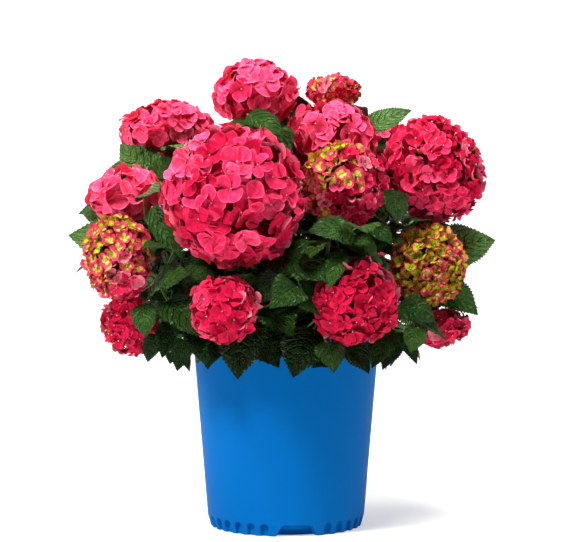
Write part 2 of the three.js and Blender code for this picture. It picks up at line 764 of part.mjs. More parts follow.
// Down a flower shoot the leaves stand in pairs, each pair a quarter turn round from the last
function pairedLeaves(shoot) {
  const random = dice(shoot.seed);
  const rows = [];
  for (let k = 0; k < pairs.most; k++) {
    const below = pairs.first + k * pairs.apart;
    if (below > shoot.free - pairs.foot) break;
    const node = shoot.curve.getPointAt((shoot.free - below) / shoot.curve.getLength());
    for (const half of [0, 180]) {
      const bearing = shoot.turn + 90 * k + half + pairs.spread * (random() - 0.5);
      const length = pairs.length * (0.9 + 0.2 * random()) + pairs.longer * k;
      const pitch = pairs.pitch - pairs.lower * k + pairs.spread * (random() - 0.5);
      const roll = 24 * (random() - 0.5);
      rows.push({ rank: k, node, bearing, pitch, length, roll, petiole: leaf.petiole + 5 * k });
    }
  }
  return rows;
}

// A leafy shoot ends in one leaf, with others turned to its two sides behind it: degrees turned, and how far
// back along the shoot
const sideLeaves = [
  [0, 0],
  [58, 0.14],
  [-58, 0.14],
  [100, 0.32],
  [-100, 0.32],
  [30, 0.5],
  [-30, 0.5],
];

function spreadLeaves(skirt) {
  const random = dice(skirt.seed);
  return sideLeaves.map(([turn, back], k) => {
    const node = skirt.curve.getPointAt(1 - back);
    const bearing = skirt.bearing + turn + 14 * (random() - 0.5);
    const length = leafyShoots.length * (0.86 + 0.24 * random());
    const pitch = (k === 0 ? -24 : k < 3 ? -12 : 10) + 12 * (random() - 0.5);
    const roll = 30 * (random() - 0.5);
    const rank = Math.floor(k / 2);
    return { rank, node, bearing, pitch, length, roll, petiole: leafyShoots.petiole };
  });
}

// Leaves set by hand come first, and then each shoot's own, the first pair of every shoot before the next
frontLeaves.forEach((row) => placeFrontLeaf(row, growers));
const wanted = [
  ...shoots.flatMap((shoot) => pairedLeaves(shoot).map((row) => ({ row, grower: shoot }))),
  ...skirts.flatMap((skirt) => spreadLeaves(skirt).map((row) => ({ row, grower: skirt }))),
];
wanted.sort((a, b) => a.row.rank - b.row.rank);
wanted.forEach(({ row, grower }) => growLeaf(row, grower));

// Meshes

const group = new THREE.Group();

function addNode(name, solid, material) {
  const mesh = new THREE.Mesh(geometryOf(solid), material);
  mesh.name = name;
  group.add(mesh);
}

function withLeaves({ solids, leaves }) {
  return wasm.Manifold.union([...solids, ...leaves.map(leafSolid)]);
}

addNode("pot", potSolid(), bluePlastic);
addNode("potting_mix", mixSolid(), darkMix);
addNode("crown", crownSolid(), bark);
canes.forEach((c) => addNode("cane_" + c.name, c.solid, bark));
for (const shoot of shoots) {
  addNode("flower_shoot_" + shoot.name, withLeaves(shoot), shoot.tone < budTone ? budGreen : crimson);
}
skirts.forEach((skirt) => addNode(skirt.name, withLeaves(skirt), leafGreen));

export default group;
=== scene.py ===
# A bigleaf hydrangea in a blue nursery pot, dressed for looks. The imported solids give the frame. The canes,
# stems and leaves grow here by the rule that the solids were grown by, and finer ones are added.

import math
from types import SimpleNamespace

import bpy
import numpy as np
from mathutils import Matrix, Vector


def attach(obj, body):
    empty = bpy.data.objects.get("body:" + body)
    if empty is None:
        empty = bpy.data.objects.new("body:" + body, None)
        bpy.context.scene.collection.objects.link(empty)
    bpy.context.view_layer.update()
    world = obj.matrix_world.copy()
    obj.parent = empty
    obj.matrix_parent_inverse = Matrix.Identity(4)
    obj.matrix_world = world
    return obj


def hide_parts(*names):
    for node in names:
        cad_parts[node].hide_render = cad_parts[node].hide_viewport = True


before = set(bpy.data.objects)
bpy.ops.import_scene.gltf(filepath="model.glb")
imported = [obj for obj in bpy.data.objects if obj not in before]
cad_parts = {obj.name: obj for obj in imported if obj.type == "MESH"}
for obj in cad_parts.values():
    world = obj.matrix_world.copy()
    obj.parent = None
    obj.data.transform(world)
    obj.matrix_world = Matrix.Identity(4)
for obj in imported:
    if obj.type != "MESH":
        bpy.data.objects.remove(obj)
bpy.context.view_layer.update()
mm = 0.001  # the plant is laid out in millimetres, and every mesh is in metres

# The layout, in millimetres: sizes, heads and the front's own leaves, as the solids have them

pot = dict(
    height=243, footRadius=92.6, footInner=80, shoulderHeight=13.3, shoulderRadius=96.3, taper=0.083,
    wall=2.2, lipHeight=14, lipOut=3.4, lipSlope=1, lipBevel=2, underFloor=7, floorTop=16,
)
drainNotch = dict(count=3, bearing=-82, bottomWidth=50, topWidth=33, height=13.5, backRadius=84)
footSlot = dict(perBay=8, step=10.4, width=9, height=14.5, depth=4)
mix = dict(top=226, edgeDrop=5, flatRadius=42, innerRadius=80)
crown = dict(height=34, footRadius=25, neckRadius=15)
cane = dict(baseRadius=4.6, tipRadius=3.7, share=0.34, bendAt=0.42, rise=0.16, ring=15.5, startHeight=20)
stem = dict(
    baseRadius=2.9, tipRadius=2.3, intoHead=0.45, sag=0.04, onward=0.4, nodes=24, bareFoot=3, bareTop=6,
)
jointRoom = 0.42  # a stem that carries on from a cane starts this far past its tip
beadStep = 5  # a limb is kept clear of as a row of balls this far apart
leaf = dict(
    widthShare=0.7, thickness=1.3, petiole=18, petioleRadius=1.4, petioleReach=95, petioleRise=30,
    arch=44, fold=15, headRoom=1.5, limbRoom=1.2, leafRoom=1.6, stalkRoom=0.5, lowest=190,
    rimRoom=4, overRim=3, wallRoom=8, overMix=5,
)
pairs = dict(
    first=13, apart=23, most=5, length=94, shortest=0.9, vary=0.2, longer=6, pitch=6, lower=10, spread=16,
    roll=24, foot=8, petioleLonger=5,
)
leafyShoots = dict(
    count=10, firstBearing=252, firstSeed=100, reach=132, startIn=2, startUp=10, bendAt=0.5, overRim=16,
    arch=14, length=88, shortest=0.86, vary=0.24, turnSpread=14, pitchSpread=12, roll=30, petiole=14,
)

# name, cane, middle of the head, its half width and half height, bearing of the first leaves, how far the
# flowers have turned from bud green, 0, to full colour, 1, and how far across an open floret is
flowerShoots = [
    ("top_left", "upper_left", (-38, -30, 528), (52, 40), 300, 1, 35),
    ("top_right", "back_top", (60, 40, 536), (35, 21), 200, 0.52, 19),
    ("upper_left", "upper_left", (-152, 45, 491), (58, 35), 250, 1, 29),
    ("left", "left", (-193, -50, 407), (46, 34), 200, 1, 42),
    ("centre", "front_left", (-59, -155, 399), (80, 80), 330, 1, 37),
    ("upper_right", "upper_right", (54, -20, 474), (55, 43), 20, 1, 30),
    ("centre_right", "front_right", (66, -108, 414), (49, 49), 250, 0.66, 21),
    ("right", "upper_right", (175, -60, 435), (60, 63), 310, 1, 25),
    ("lower_left", "left", (-194, -130, 328), (40, 50), 215, 0.52, 20),
    ("low_left", "left", (-187, -50, 247), (36, 36), 290, 1, 22),
    ("low_front_left", "front_left", (-69, -195, 273), (37, 37), 190, 0.95, 26),
    ("low_front_right", "front_right", (79, -150, 279), (48, 48), 210, 0.95, 25),
    ("lower_right", "right", (167, -90, 320), (45, 49), 340, 0.15, 19),
    ("low_right", "right", (191, -25, 242), (33, 24), 300, 0.95, 21),
    ("back_upper_left", "back_left", (-119, 118, 434), (53, 45), 150, 1, 34),
    ("back_top", "back_top", (10, 118, 468), (56, 44), 60, 1, 36),
    ("back_upper_right", "back_right", (132, 92, 448), (52, 46), 30, 1, 28),
    ("back_left", "back_left", (-185, 92, 336), (44, 46), 170, 0.5, 23),
    ("back_centre", "back", (-60, 172, 353), (60, 57), 110, 1, 36),
    ("back_right", "back_right", (78, 174, 345), (56, 52), 75, 1, 33),
    ("back_far_right", "back_right", (184, 92, 330), (44, 44), 20, 1, 30),
    ("low_back", "back", (-8, 190, 262), (36, 34), 100, 0.3, 21),
]

# Leaves at the front with a place of their own: base, tip, width and roll
frontLeaves = [
    (-154, 12, 414, -205, 12, 468, 59, -25),
    (-160, -20, 424, -140, -10, 452, 27, 0),
    (-203, 18, 388, -254, -12, 381, 34, 0),
    (-164, -64, 342, -258, -74, 355, 62, -25),
    (-157, -92, 388, -117, -122, 325, 30, 30),
    (-155, -115, 297, -108, -165, 310, 48, 0),
    (-136, -130, 280, -90, -170, 238, 50, 0),
    (-165, -132, 276, -159, -152, 238, 30, 0),
    (-137, -108, 254, -143, -128, 213, 28, 0),
    (-116, -108, 227, -111, -128, 197, 16, 40),
    (-84, -105, 319, -134, -122, 315, 26, 0),
    (-118, -150, 308, -79, -140, 311, 25, 0),
    (-100, -118, 244, -93, -134, 206, 34, 0),
    (-72, -118, 244, -85, -152, 208, 30, 0),
    (-52, -104, 249, -8, -143, 203, 62, 0),
    (-37, -130, 252, -20, -166, 209, 32, 0),
    (14, -122, 246, -18, -146, 209, 34, 0),
    (32, -126, 247, 8, -161, 193, 58, 0),
    (52, -100, 249, 69, -145, 217, 43, -25),
    (65, -108, 236, 95, -142, 196, 39, 0),
    (122, -105, 246, 98, -148, 203, 34, 0),
    (132, -80, 246, 112, -112, 198, 34, 0),
    (127, -125, 271, 171, -142, 256, 46, 0),
    (136, -95, 242, 152, -115, 205, 21, 0),
    (182, -36, 332, 255, -20, 349, 65, 0),
    (173, -40, 294, 230, -55, 259, 48, 0),
    (124, -110, 408, 127, -132, 368, 35, -25),
    (113, -92, 388, 105, -98, 453, 18, 90),
    (145, -130, 371, 180, -57, 361, 18, -25),
    (70, -62, 345, 136, -125, 347, 54, 0),
    (78, -146, 356, 24, -178, 359, 43, 0),
    (64, -150, 338, 47, -196, 293, 25, 0),
    (-19, -105, 335, 54, -187, 301, 62, 0),
    (-7, -130, 292, 40, -180, 263, 23, 0),
    (35, -122, 264, -20, -150, 257, 21, 0),
    (-45, -82, 497, -2, -97, 470, 31, 0),
    (-69, -74, 486, -4, -90, 462, 24, 0),
    (7, 30, 493, 39, 34, 515, 27, 0),
    (97, 24, 484, 157, 27, 511, 35, 0),
    (106, 18, 466, 133, 25, 465, 20, 0),
]


# Numbers and directions

up = np.array([0.0, 0.0, 1.0])
facesFront = np.array([0.0, -0.8, 0.6])  # which way a leaf with a place of its own is turned
outShare = 0.6  # how far a leaf that grows from a stem is turned outwards


def unit(v):
    return v / np.linalg.norm(v, axis=-1, keepdims=True)


def lengthOf(v):
    return np.sqrt((v * v).sum(-1))


def heading(bearing):
    return np.array([math.cos(math.radians(bearing)), math.sin(math.radians(bearing)), 0.0])


def lerp(a, b, share):
    return a + (b - a) * share


def smoothly(low, high, value):  # 0 below low, 1 above high, and an S-shaped rise between them
    share = np.clip((value - low) / (high - low), 0, 1)
    return share * share * (3 - 2 * share)


def dice(seed):  # seeded numbers between 0 and 1: each is the last times a factor, modulo a prime
    state = (seed * 7919 + 17) % 2147483647

    def throw():
        nonlocal state
        state = state * 48271 % 2147483647
        return state / 2147483647

    return throw


def ripple(points, size, seed, waves=10):  # a sum of sine waves about this long, roughly -1 to 1
    random = np.random.default_rng(seed)
    ways = unit(random.normal(size=(waves, 3))) * random.uniform(0.6, 1.7, (waves, 1)) * 2 * np.pi / size
    return np.sin(points @ ways.T + random.uniform(0, 2 * np.pi, waves)).mean(-1) * 1.8


# Curves: a bend from one point by way of another to a third

def bendPoints(curve, t):  # (1 - t)^2 a + 2 t (1 - t) b + t^2 c
    t = np.asarray(t, float)[..., None]
    a, b, c = curve
    return (1 - t) ** 2 * a + 2 * t * (1 - t) * b + t * t * c


def alongCurve(curve, shares):  # points at these shares of the curve's own length
    t = np.linspace(0, 1, 201)
    run = np.concatenate([[0], np.cumsum(lengthOf(np.diff(bendPoints(curve, t), axis=0)))])
    return bendPoints(curve, np.interp(np.asarray(shares) * run[-1], run, t))


def curveLength(curve):
    return lengthOf(np.diff(bendPoints(curve, np.linspace(0, 1, 201)), axis=0)).sum()


# The plant's limbs: ten canes from the crown, a stem for every head, and leafy shoots over the rim

print("growing the limbs")

shoots = []
for number, (name, caneName, at, size, turn, tone, openWidth) in enumerate(flowerShoots):
    shoots.append(SimpleNamespace(
        name=name, node="flower_shoot_" + name, cane=caneName, seed=number + 1, leaves=[], turn=turn,
        centre=np.array(at, float), wide=size[0], high=size[1], tone=tone, floret=openWidth,
    ))

crownTop = up * (mix["top"] + cane["startHeight"])
canes = []
for name in dict.fromkeys(s.cane for s in shoots):
    carried = [s for s in shoots if s.cane == name]
    middle = np.mean([s.centre for s in carried], axis=0)
    tip = lerp(crownTop, middle, cane["share"])
    bearing = math.degrees(math.atan2(tip[1], tip[0]))
    canes.append(SimpleNamespace(name=name, carried=carried, tip=tip, bearing=bearing))
canes.sort(key=lambda c: c.bearing)
for i, c in enumerate(canes):
    foot = heading(canes[0].bearing + i * 360 / len(canes)) * cane["ring"] + crownTop
    bend = lerp(foot, c.tip, cane["bendAt"]) + up * lengthOf(c.tip - foot) * cane["rise"]
    c.curve = (foot, bend, c.tip)

leavesCaneAt = (1, 0.6, 0.38)  # where the first, second and third stem leave their cane, along its length


def stemCurve(shoot):  # on from the cane's tip, or out of its side, and into the head
    c = next(one for one in canes if one.name == shoot.cane)
    order = c.carried.index(shoot)
    along = unit(c.curve[2] - c.curve[1])
    start = alongCurve(c.curve, leavesCaneAt[order])
    if order == 0:
        start = start + along * jointRoom
    towards = shoot.centre - start
    end = shoot.centre - unit(towards) * shoot.high * stem["intoHead"]
    bend = lerp(start, end, 0.5) - up * stem["sag"] * lengthOf(towards)
    if order == 0:
        bend = lerp(bend, start + along * lengthOf(towards) * stem["onward"], 0.5)
    return start, bend, end


for shoot in shoots:
    shoot.curve = stemCurve(shoot)
    shoot.free = curveLength(shoot.curve) - shoot.high * (1 - stem["intoHead"])

skirts = []
for i in range(leafyShoots["count"]):
    bearing = leafyShoots["firstBearing"] + i * 360 / leafyShoots["count"]
    out, rim = heading(bearing), pot["height"] + leafyShoots["overRim"]
    start = out * (crown["neckRadius"] - leafyShoots["startIn"]) + up * (mix["top"] + leafyShoots["startUp"])
    bend = out * leafyShoots["reach"] * leafyShoots["bendAt"] + up * (rim + leafyShoots["arch"])
    curve = (start, bend, out * leafyShoots["reach"] + up * rim)
    name = f"leafy_shoot_{i + 1}"
    skirts.append(SimpleNamespace(
        name=name, node=name, bearing=bearing, curve=curve, free=curveLength(curve),
        seed=leafyShoots["firstSeed"] + i, leaves=[],
    ))

growers = shoots + skirts
limbs = [(c.name, c.curve, cane) for c in canes] + [(g.name, g.curve, stem) for g in growers]
beadAt, beadRadius, beadOwner = [], [], []
for name, curve, shape in limbs:
    shares = np.linspace(0, 1, math.ceil(curveLength(curve) / beadStep) + 1)
    beadAt.append(alongCurve(curve, shares))
    beadRadius.append(lerp(shape["baseRadius"], shape["tipRadius"], shares))
    beadOwner += [name] * len(shares)
beadAt, beadRadius, beadOwner = np.concatenate(beadAt), np.concatenate(beadRadius), np.array(beadOwner)

for g in growers:
    places = alongCurve(g.curve, np.linspace(0, 1, stem["nodes"] + 1))
    step = curveLength(g.curve) / stem["nodes"]
    g.places = [
        p for i, p in enumerate(places) if i > stem["bareFoot"] and i * step < g.free - stem["bareTop"]
    ]

# A leaf's blade: its midrib is an arc from base to tip, and its halves are folded up from it

bladeStations = ((0.2, 0.96), (0.62, 0.9))
bladeFaces = np.array([
    (0, 2, 3), (2, 5, 6), (2, 6, 3), (5, 1, 6), (0, 4, 2), (2, 7, 5), (2, 4, 7), (5, 7, 1),
])


def bladeFrame(l):  # along the blade, out of its face, and across it
    along = unit(l.tip - l.base)
    face = unit(l.faces - along * (l.faces @ along))
    roll = math.radians(l.roll)
    face = face * math.cos(roll) + np.cross(along, face) * math.sin(roll)
    return along, face, np.cross(face, along)


def bladePoint(l, ways, station, across):
    along, face, sideways = ways
    bend, fold = math.radians(l.arch), math.radians(leaf["fold"])
    arc = lengthOf(l.tip - l.base) * 0.5 / math.sin(bend / 2)
    turn = bend / 2 - bend * station
    ahead = arc * (math.sin(bend / 2) - math.sin(turn))
    rise = arc * (math.cos(turn) - math.cos(bend / 2)) + abs(across) * math.sin(fold)
    return l.base + along * ahead + face * rise + sideways * across * math.cos(fold)


def shapeOf(corners, faces, edges, lift, owner):
    middle = (corners.min(0) + corners.max(0)) / 2
    return SimpleNamespace(
        corners=corners, faces=faces, edges=edges, lift=lift, owner=owner, middle=middle,
        radius=lengthOf(corners - middle).max(), isStalk=len(faces) == 0,
    )


def bladeShape(l, owner):
    ways = bladeFrame(l)
    spots = [(at, side * reach * l.width / 2) for at, reach in bladeStations for side in (0, 1, -1)]
    corners = np.array([l.base, l.tip, *(bladePoint(l, ways, at, across) for at, across in spots)])
    faces = corners[bladeFaces]
    return shapeOf(corners, faces, faces[:, [[0, 1], [1, 2], [2, 0]]].reshape(-1, 2, 3), ways[1], owner)


def stalkShape(l, owner):
    corners = np.array([l.node, l.base])
    return shapeOf(corners, np.empty((0, 3, 3)), corners[None], unit(np.cross(l.base - l.node, up)), owner)


# Whether a leaf keeps clear of the heads, the limbs, the pot and the leaves already placed

def toSegments(points, edges):  # from every point to the nearest point of every edge
    run = edges[:, 1] - edges[:, 0]
    share = ((points[:, None] - edges[:, 0]) * run).sum(-1) / (run * run).sum(-1)
    return lengthOf(points[:, None] - edges[:, 0] - np.clip(share, 0, 1)[..., None] * run)


def toTriangles(points, faces):  # to the plane where the foot lies inside, otherwise to the nearest side
    a, b, c = faces[:, 0], faces[:, 1], faces[:, 2]
    out = unit(np.cross(b - a, c - a))
    inside = np.ones((len(points), len(faces)), bool)
    for start, end in ((a, b), (b, c), (c, a)):
        inside &= (np.cross(end - start, points[:, None] - start) * out).sum(-1) >= 0
    flat = np.abs(((points[:, None] - a) * out).sum(-1))
    sides = [toSegments(points, np.stack(ends, 1)) for ends in ((a, b), (b, c), (c, a))]
    return np.where(inside, flat, np.minimum.reduce(sides))


def betweenSegments(one, others):  # nearest approach of one segment to each of the others
    d1, d2, r = one[1] - one[0], others[:, 1] - others[:, 0], one[0] - others[:, 0]
    a, e = d1 @ d1, (d2 * d2).sum(-1)
    b, c, f = d2 @ d1, r @ d1, (d2 * r).sum(-1)
    spread = a * e - b * b
    s = np.where(spread > 1e-9, np.clip((b * f - c * e) / np.maximum(spread, 1e-9), 0, 1), 0)
    t = np.clip((b * s + f) / e, 0, 1)
    s = np.clip((t * b - c) / a, 0, 1)
    return lengthOf(one[0] + s[:, None] * d1 - others[:, 0] - t[:, None] * d2)


def pierces(edges, faces):  # whether any edge runs through any face
    if not len(edges) or not len(faces):
        return False
    start, run = edges[:, None, 0], (edges[:, 1] - edges[:, 0])[:, None]
    a, side, other = faces[:, 0], faces[:, 1] - faces[:, 0], faces[:, 2] - faces[:, 0]
    across = np.cross(run, other)
    scale = (across * side).sum(-1)
    scale = np.where(np.abs(scale) < 1e-12, np.nan, scale)
    rel = start - a
    u = (rel * across).sum(-1) / scale
    turned = np.cross(rel, side)
    v = (run * turned).sum(-1) / scale
    t = (other * turned).sum(-1) / scale
    return bool(((u >= 0) & (v >= 0) & (u + v <= 1) & (t >= 0) & (t < 1)).any())


placed = []
placedMiddle = np.empty((0, 3))
placedRadius = np.empty(0)


def brushes(stalk, other):  # whether a petiole comes close to a leaf's edge on another shoot
    if not stalk.isStalk or stalk.owner == other.owner:
        return False
    otherHalf = leaf["petioleRadius"] if other.isStalk else leaf["thickness"] / 2
    room = leaf["petioleRadius"] + leaf["stalkRoom"] + otherHalf
    return bool((betweenSegments(stalk.edges[0], other.edges) < room).any())


def meetsLeaves(shape):
    apart = lengthOf(placedMiddle - shape.middle)
    room = 2 * leaf["petioleRadius"] + leaf["leafRoom"]
    near = [placed[i] for i in np.flatnonzero(apart <= placedRadius + shape.radius + room)]
    if not near:
        return False
    if any(brushes(shape, other) or brushes(other, shape) for other in near):
        return True
    edges = np.concatenate([other.edges for other in near])
    faces = np.concatenate([other.faces for other in near])
    for lift in (0, leaf["leafRoom"], -leaf["leafRoom"]):
        shift = shape.lift * lift
        if pierces(shape.edges + shift, faces) or pierces(edges - shift, shape.faces):
            return True
    return False


def meetsHeads(shape):  # a head is a ball in a space squeezed to its own shape
    for head in shoots:
        grow = leaf["headRoom"]
        if lengthOf(shape.middle - head.centre) > shape.radius + max(head.wide, head.high) + grow:
            continue
        size = np.array([head.wide + grow, head.wide + grow, head.high + grow])
        ball = np.zeros((1, 3))
        if shape.isStalk:
            reach = toSegments(ball, (shape.edges - head.centre) / size)
        else:
            reach = toTriangles(ball, (shape.faces - head.centre) / size)
        if (reach < 1).any():
            return True
    return False


def meetsLimbs(shape, ownLimb):
    room = beadRadius + leaf["limbRoom"] + (leaf["petioleRadius"] if shape.isStalk else 0)
    near = (lengthOf(beadAt - shape.middle) <= shape.radius + room) & (beadOwner != ownLimb)
    if not near.any():
        return False
    apart = toSegments(beadAt[near], shape.edges) if shape.isStalk else toTriangles(beadAt[near], shape.faces)
    return bool((apart < room[near, None]).any())


def wallRadius(z):
    return pot["shoulderRadius"] + (z - pot["shoulderHeight"]) * pot["taper"]


def meetsPot(shape):
    points = np.concatenate([shape.corners, shape.faces.mean(1)])
    r, z = np.hypot(points[:, 0], points[:, 1]), points[:, 2]
    rim = wallRadius(pot["height"]) + pot["lipOut"] + leaf["rimRoom"]
    inside = wallRadius(mix["top"]) - leaf["wallRoom"]
    isLow = (r < rim) & (z < pot["height"] + leaf["overRim"])
    return bool((isLow & ((r > inside) | (z < mix["top"] + leaf["overMix"]))).any())


def isClear(shape, ownLimb=None):
    return not (meetsPot(shape) or meetsHeads(shape) or meetsLimbs(shape, ownLimb) or meetsLeaves(shape))


def place(l, grower, blade=None):  # adds the leaf to its shoot where blade and petiole are both clear
    global placedMiddle, placedRadius
    if blade is None:
        blade = bladeShape(l, grower.name)
        if not isClear(blade):
            return False
    stalk = stalkShape(l, grower.name)
    blade.owner = grower.name
    if not isClear(stalk, grower.name):
        return False
    placed.extend([blade, stalk])
    placedMiddle = np.vstack([placedMiddle, blade.middle, stalk.middle])
    placedRadius = np.append(placedRadius, [blade.radius, stalk.radius])
    grower.leaves.append(l)
    return True


# Ways to turn a leaf aside: degrees of bearing, degrees of pitch, and a share of its length
asides = (
    (0, 0, 1), (14, 0, 1), (-14, 0, 1), (0, -16, 1), (0, 16, 1), (26, -10, 0.92), (-26, -10, 0.92),
    (0, -32, 0.88), (40, 12, 0.82), (-40, 12, 0.82), (0, 34, 0.78), (-62, -6, 0.8), (62, -6, 0.8),
    (0, -50, 0.8), (24, 24, 0.66), (-24, 24, 0.66), (14, -20, 0.6), (-14, -20, 0.6),
)


def growLeaf(want, grower):  # one leaf from a point of a stem, turned aside where it must be, or skipped
    for turn, tilt, share in asides:
        out = heading(want.bearing + turn)
        slope = math.radians(want.pitch + tilt)
        rise = math.radians(leaf["petioleRise"]) + slope / 2
        base = want.node + (out * math.cos(rise) + up * math.sin(rise)) * want.petiole
        reach = want.length * share
        tip = base + (out * math.cos(slope) + up * math.sin(slope)) * reach
        if tip[2] < leaf["lowest"]:
            continue
        faces = unit(tip * (1, 1, 0)) * outShare + up
        l = SimpleNamespace(
            node=want.node, base=base, tip=tip, width=reach * leaf["widthShare"], faces=faces,
            arch=leaf["arch"], roll=want.roll,
        )
        if place(l, grower):
            return


def standLeaf(l, reach):  # from the nearest point of a stem that its petiole can reach clear of everything
    blade = bladeShape(l, None)
    if not isClear(blade):
        return
    reachable = [
        (lengthOf(node - l.base), i, j) for i, g in enumerate(growers) for j, node in enumerate(g.places)
    ]
    for far, i, j in sorted(reachable):
        if far >= reach:
            return
        l.node = growers[i].places[j]
        if place(l, growers[i], blade):
            return


def placeFrontLeaf(row):
    base, tip = np.array(row[0:3], float), np.array(row[3:6], float)
    l = SimpleNamespace(base=base, tip=tip, width=row[6], faces=facesFront, arch=leaf["arch"], roll=row[7])
    standLeaf(l, leaf["petioleReach"])


def within(spread, random):  # a seeded number in a range this wide about 0
    return spread * (random() - 0.5)


def lengthBy(rule, random):
    return rule["length"] * (rule["shortest"] + rule["vary"] * random())


def pairNodes(shoot, later):  # down a flower shoot, for each leaf of each pair: its number, place and side
    for k in range(pairs["most"]):
        below = pairs["first"] + (k + later) * pairs["apart"]
        if below > shoot.free - pairs["foot"]:
            return
        node = alongCurve(shoot.curve, (shoot.free - below) / curveLength(shoot.curve))
        for half in (0, 180):
            yield k, node, half


def pairedLeaves(shoot):  # each pair a quarter turn round from the last
    random = dice(shoot.seed)
    wants = []
    for k, node, half in pairNodes(shoot, 0):
        bearing = shoot.turn + 90 * k + half + within(pairs["spread"], random)
        length = lengthBy(pairs, random) + pairs["longer"] * k
        pitch = pairs["pitch"] - pairs["lower"] * k + within(pairs["spread"], random)
        wants.append(SimpleNamespace(
            rank=k, node=node, bearing=bearing, pitch=pitch, length=length,
            roll=within(pairs["roll"], random), petiole=leaf["petiole"] + pairs["petioleLonger"] * k,
        ))
    return wants


# On a leafy shoot: degrees turned from its bearing, how far back along it, and degrees of pitch
sideLeaves = (
    (0, 0, -24), (58, 0.14, -12), (-58, 0.14, -12), (100, 0.32, 10), (-100, 0.32, 10), (30, 0.5, 10),
    (-30, 0.5, 10),
)


def spreadLeaves(skirt):
    random = dice(skirt.seed)
    wants = []
    for k, (turn, back, pitch) in enumerate(sideLeaves):
        node = alongCurve(skirt.curve, 1 - back)
        bearing = skirt.bearing + turn + within(leafyShoots["turnSpread"], random)
        length = lengthBy(leafyShoots, random)
        pitch = pitch + within(leafyShoots["pitchSpread"], random)
        wants.append(SimpleNamespace(
            rank=k // 2, node=node, bearing=bearing, pitch=pitch, length=length,
            roll=within(leafyShoots["roll"], random), petiole=leafyShoots["petiole"],
        ))
    return wants


print("growing the leaves")

for row in frontLeaves:
    placeFrontLeaf(row)
wanted = [(want, shoot) for shoot in shoots for want in pairedLeaves(shoot)]
wanted += [(want, skirt) for skirt in skirts for want in spreadLeaves(skirt)]
wanted.sort(key=lambda row: row[0].rank)
for want, grower in wanted:
    growLeaf(want, grower)
print("leaves as in the solids:", len(placed) // 2)

# Finer leaves by the same rule: a smaller pair half way between each pair, and leaves low on the canes

finer = dict(seed=500, turn=45, length=58, shortest=0.8, vary=0.4, pitch=20, spread=24, roll=40, petiole=12)
lowLeaves = dict(
    seed=900, nodes=(0.5, 0.72, 0.92), turn=60, turnSpread=30, pitchSpread=30, drop=0.3, length=52,
    shortest=0.8, vary=0.5, roll=40, petiole=12,
)


def finerLeaves(shoot):
    random = dice(shoot.seed + finer["seed"])
    wants = []
    for k, node, half in pairNodes(shoot, 0.5):
        bearing = shoot.turn + finer["turn"] + 90 * k + half + within(finer["spread"], random)
        pitch = finer["pitch"] - pairs["lower"] * k + within(finer["spread"], random)
        wants.append(SimpleNamespace(
            rank=k, node=node, bearing=bearing, pitch=pitch, length=lengthBy(finer, random),
            roll=within(finer["roll"], random), petiole=finer["petiole"],
        ))
    return wants


def caneLeaves(c, number):
    random = dice(lowLeaves["seed"] + number)
    wants = []
    for k, share in enumerate(lowLeaves["nodes"]):
        for half in (0, 180):
            bearing = c.bearing + lowLeaves["turn"] * k + half + lowLeaves["turnSpread"] * random()
            pitch = lowLeaves["pitchSpread"] * (random() - lowLeaves["drop"])
            wants.append(SimpleNamespace(
                rank=k, node=alongCurve(c.curve, share), bearing=bearing, pitch=pitch,
                length=lengthBy(lowLeaves, random), roll=within(lowLeaves["roll"], random),
                petiole=lowLeaves["petiole"],
            ))
    return wants


# Small leaves set one by one where the front shows light between the heads: base, tip, width and roll
gapLeaves = [
    (-170, -85, 290, -140, -100, 278, 26, 0),
    (108, -40, 350, 126, -60, 330, 24, 0),
    (12, -80, 368, 36, -90, 352, 24, 0),
    (46, -156, 234, 54, -178, 200, 36, 0),
    (-150, -110, 240, -160, -120, 208, 26, 0),
    (200, 40, 312, 244, 34, 330, 34, 0),
    (-228, -18, 372, -250, -24, 384, 22, 0),
    (-128, -112, 230, -134, -126, 206, 22, 0),
    (-118, -128, 236, -124, -152, 200, 30, 0),
    (150, -150, 250, 140, -172, 222, 28, 0),
    (-160, -84, 268, -132, -92, 262, 26, 0),
]
for row in gapLeaves:
    placeFrontLeaf(row)

# More leaves in the openings between these: seeded tries all round the crown, the longest first, each kept
# where it is clear. A try has a bearing, a height, a depth under the crown's outline, and hangs more the
# lower it is

filling = dict(
    tries=2600, seed=4100, low=206, high=436, middle=345, crownWide=232, crownHigh=215, depth=(0.62, 0.92),
    longest=84, shortest=28, widthShare=0.74, spread=220, slope=70, hang=38, roll=60, reach=80,
    outward=0.8, upward=0.6, rimHigh=262, rimReach=150,
)


def fillingLeaf(share, random):
    bearing, high = 360 * random(), lerp(filling["low"], filling["high"], random())
    wide = filling["crownWide"] * math.sqrt(1 - ((high - filling["middle"]) / filling["crownHigh"]) ** 2)
    wide = min(wide, filling["rimReach"]) if high < filling["rimHigh"] else wide
    out = heading(bearing)
    middle = out * wide * lerp(*filling["depth"], random()) + up * high
    fall = (filling["high"] - high) / (filling["high"] - filling["low"])
    slope = math.radians(within(filling["slope"], random) - filling["hang"] * fall)
    run = heading(bearing + within(filling["spread"], random)) * math.cos(slope) + up * math.sin(slope)
    long = lerp(filling["longest"], filling["shortest"], share)
    return SimpleNamespace(
        base=middle - run * long / 2, tip=middle + run * long / 2, width=long * filling["widthShare"],
        faces=out * filling["outward"] + up * filling["upward"], arch=leaf["arch"],
        roll=within(filling["roll"], random),
    )


random = dice(filling["seed"])
for k in range(filling["tries"]):
    l = fillingLeaf(k / filling["tries"], random)
    if l.tip[2] > leaf["lowest"]:
        standLeaf(l, filling["reach"])
print("leaves with the openings filled:", len(placed) // 2)
for shoot in shoots:
    for want in finerLeaves(shoot):
        growLeaf(want, shoot)
for number, c in enumerate(canes):
    c.leaves = []
    for want in caneLeaves(c, number):
        growLeaf(want, c)
allLeaves = [l for g in growers + canes for l in g.leaves]
print("leaves in all:", len(allLeaves))

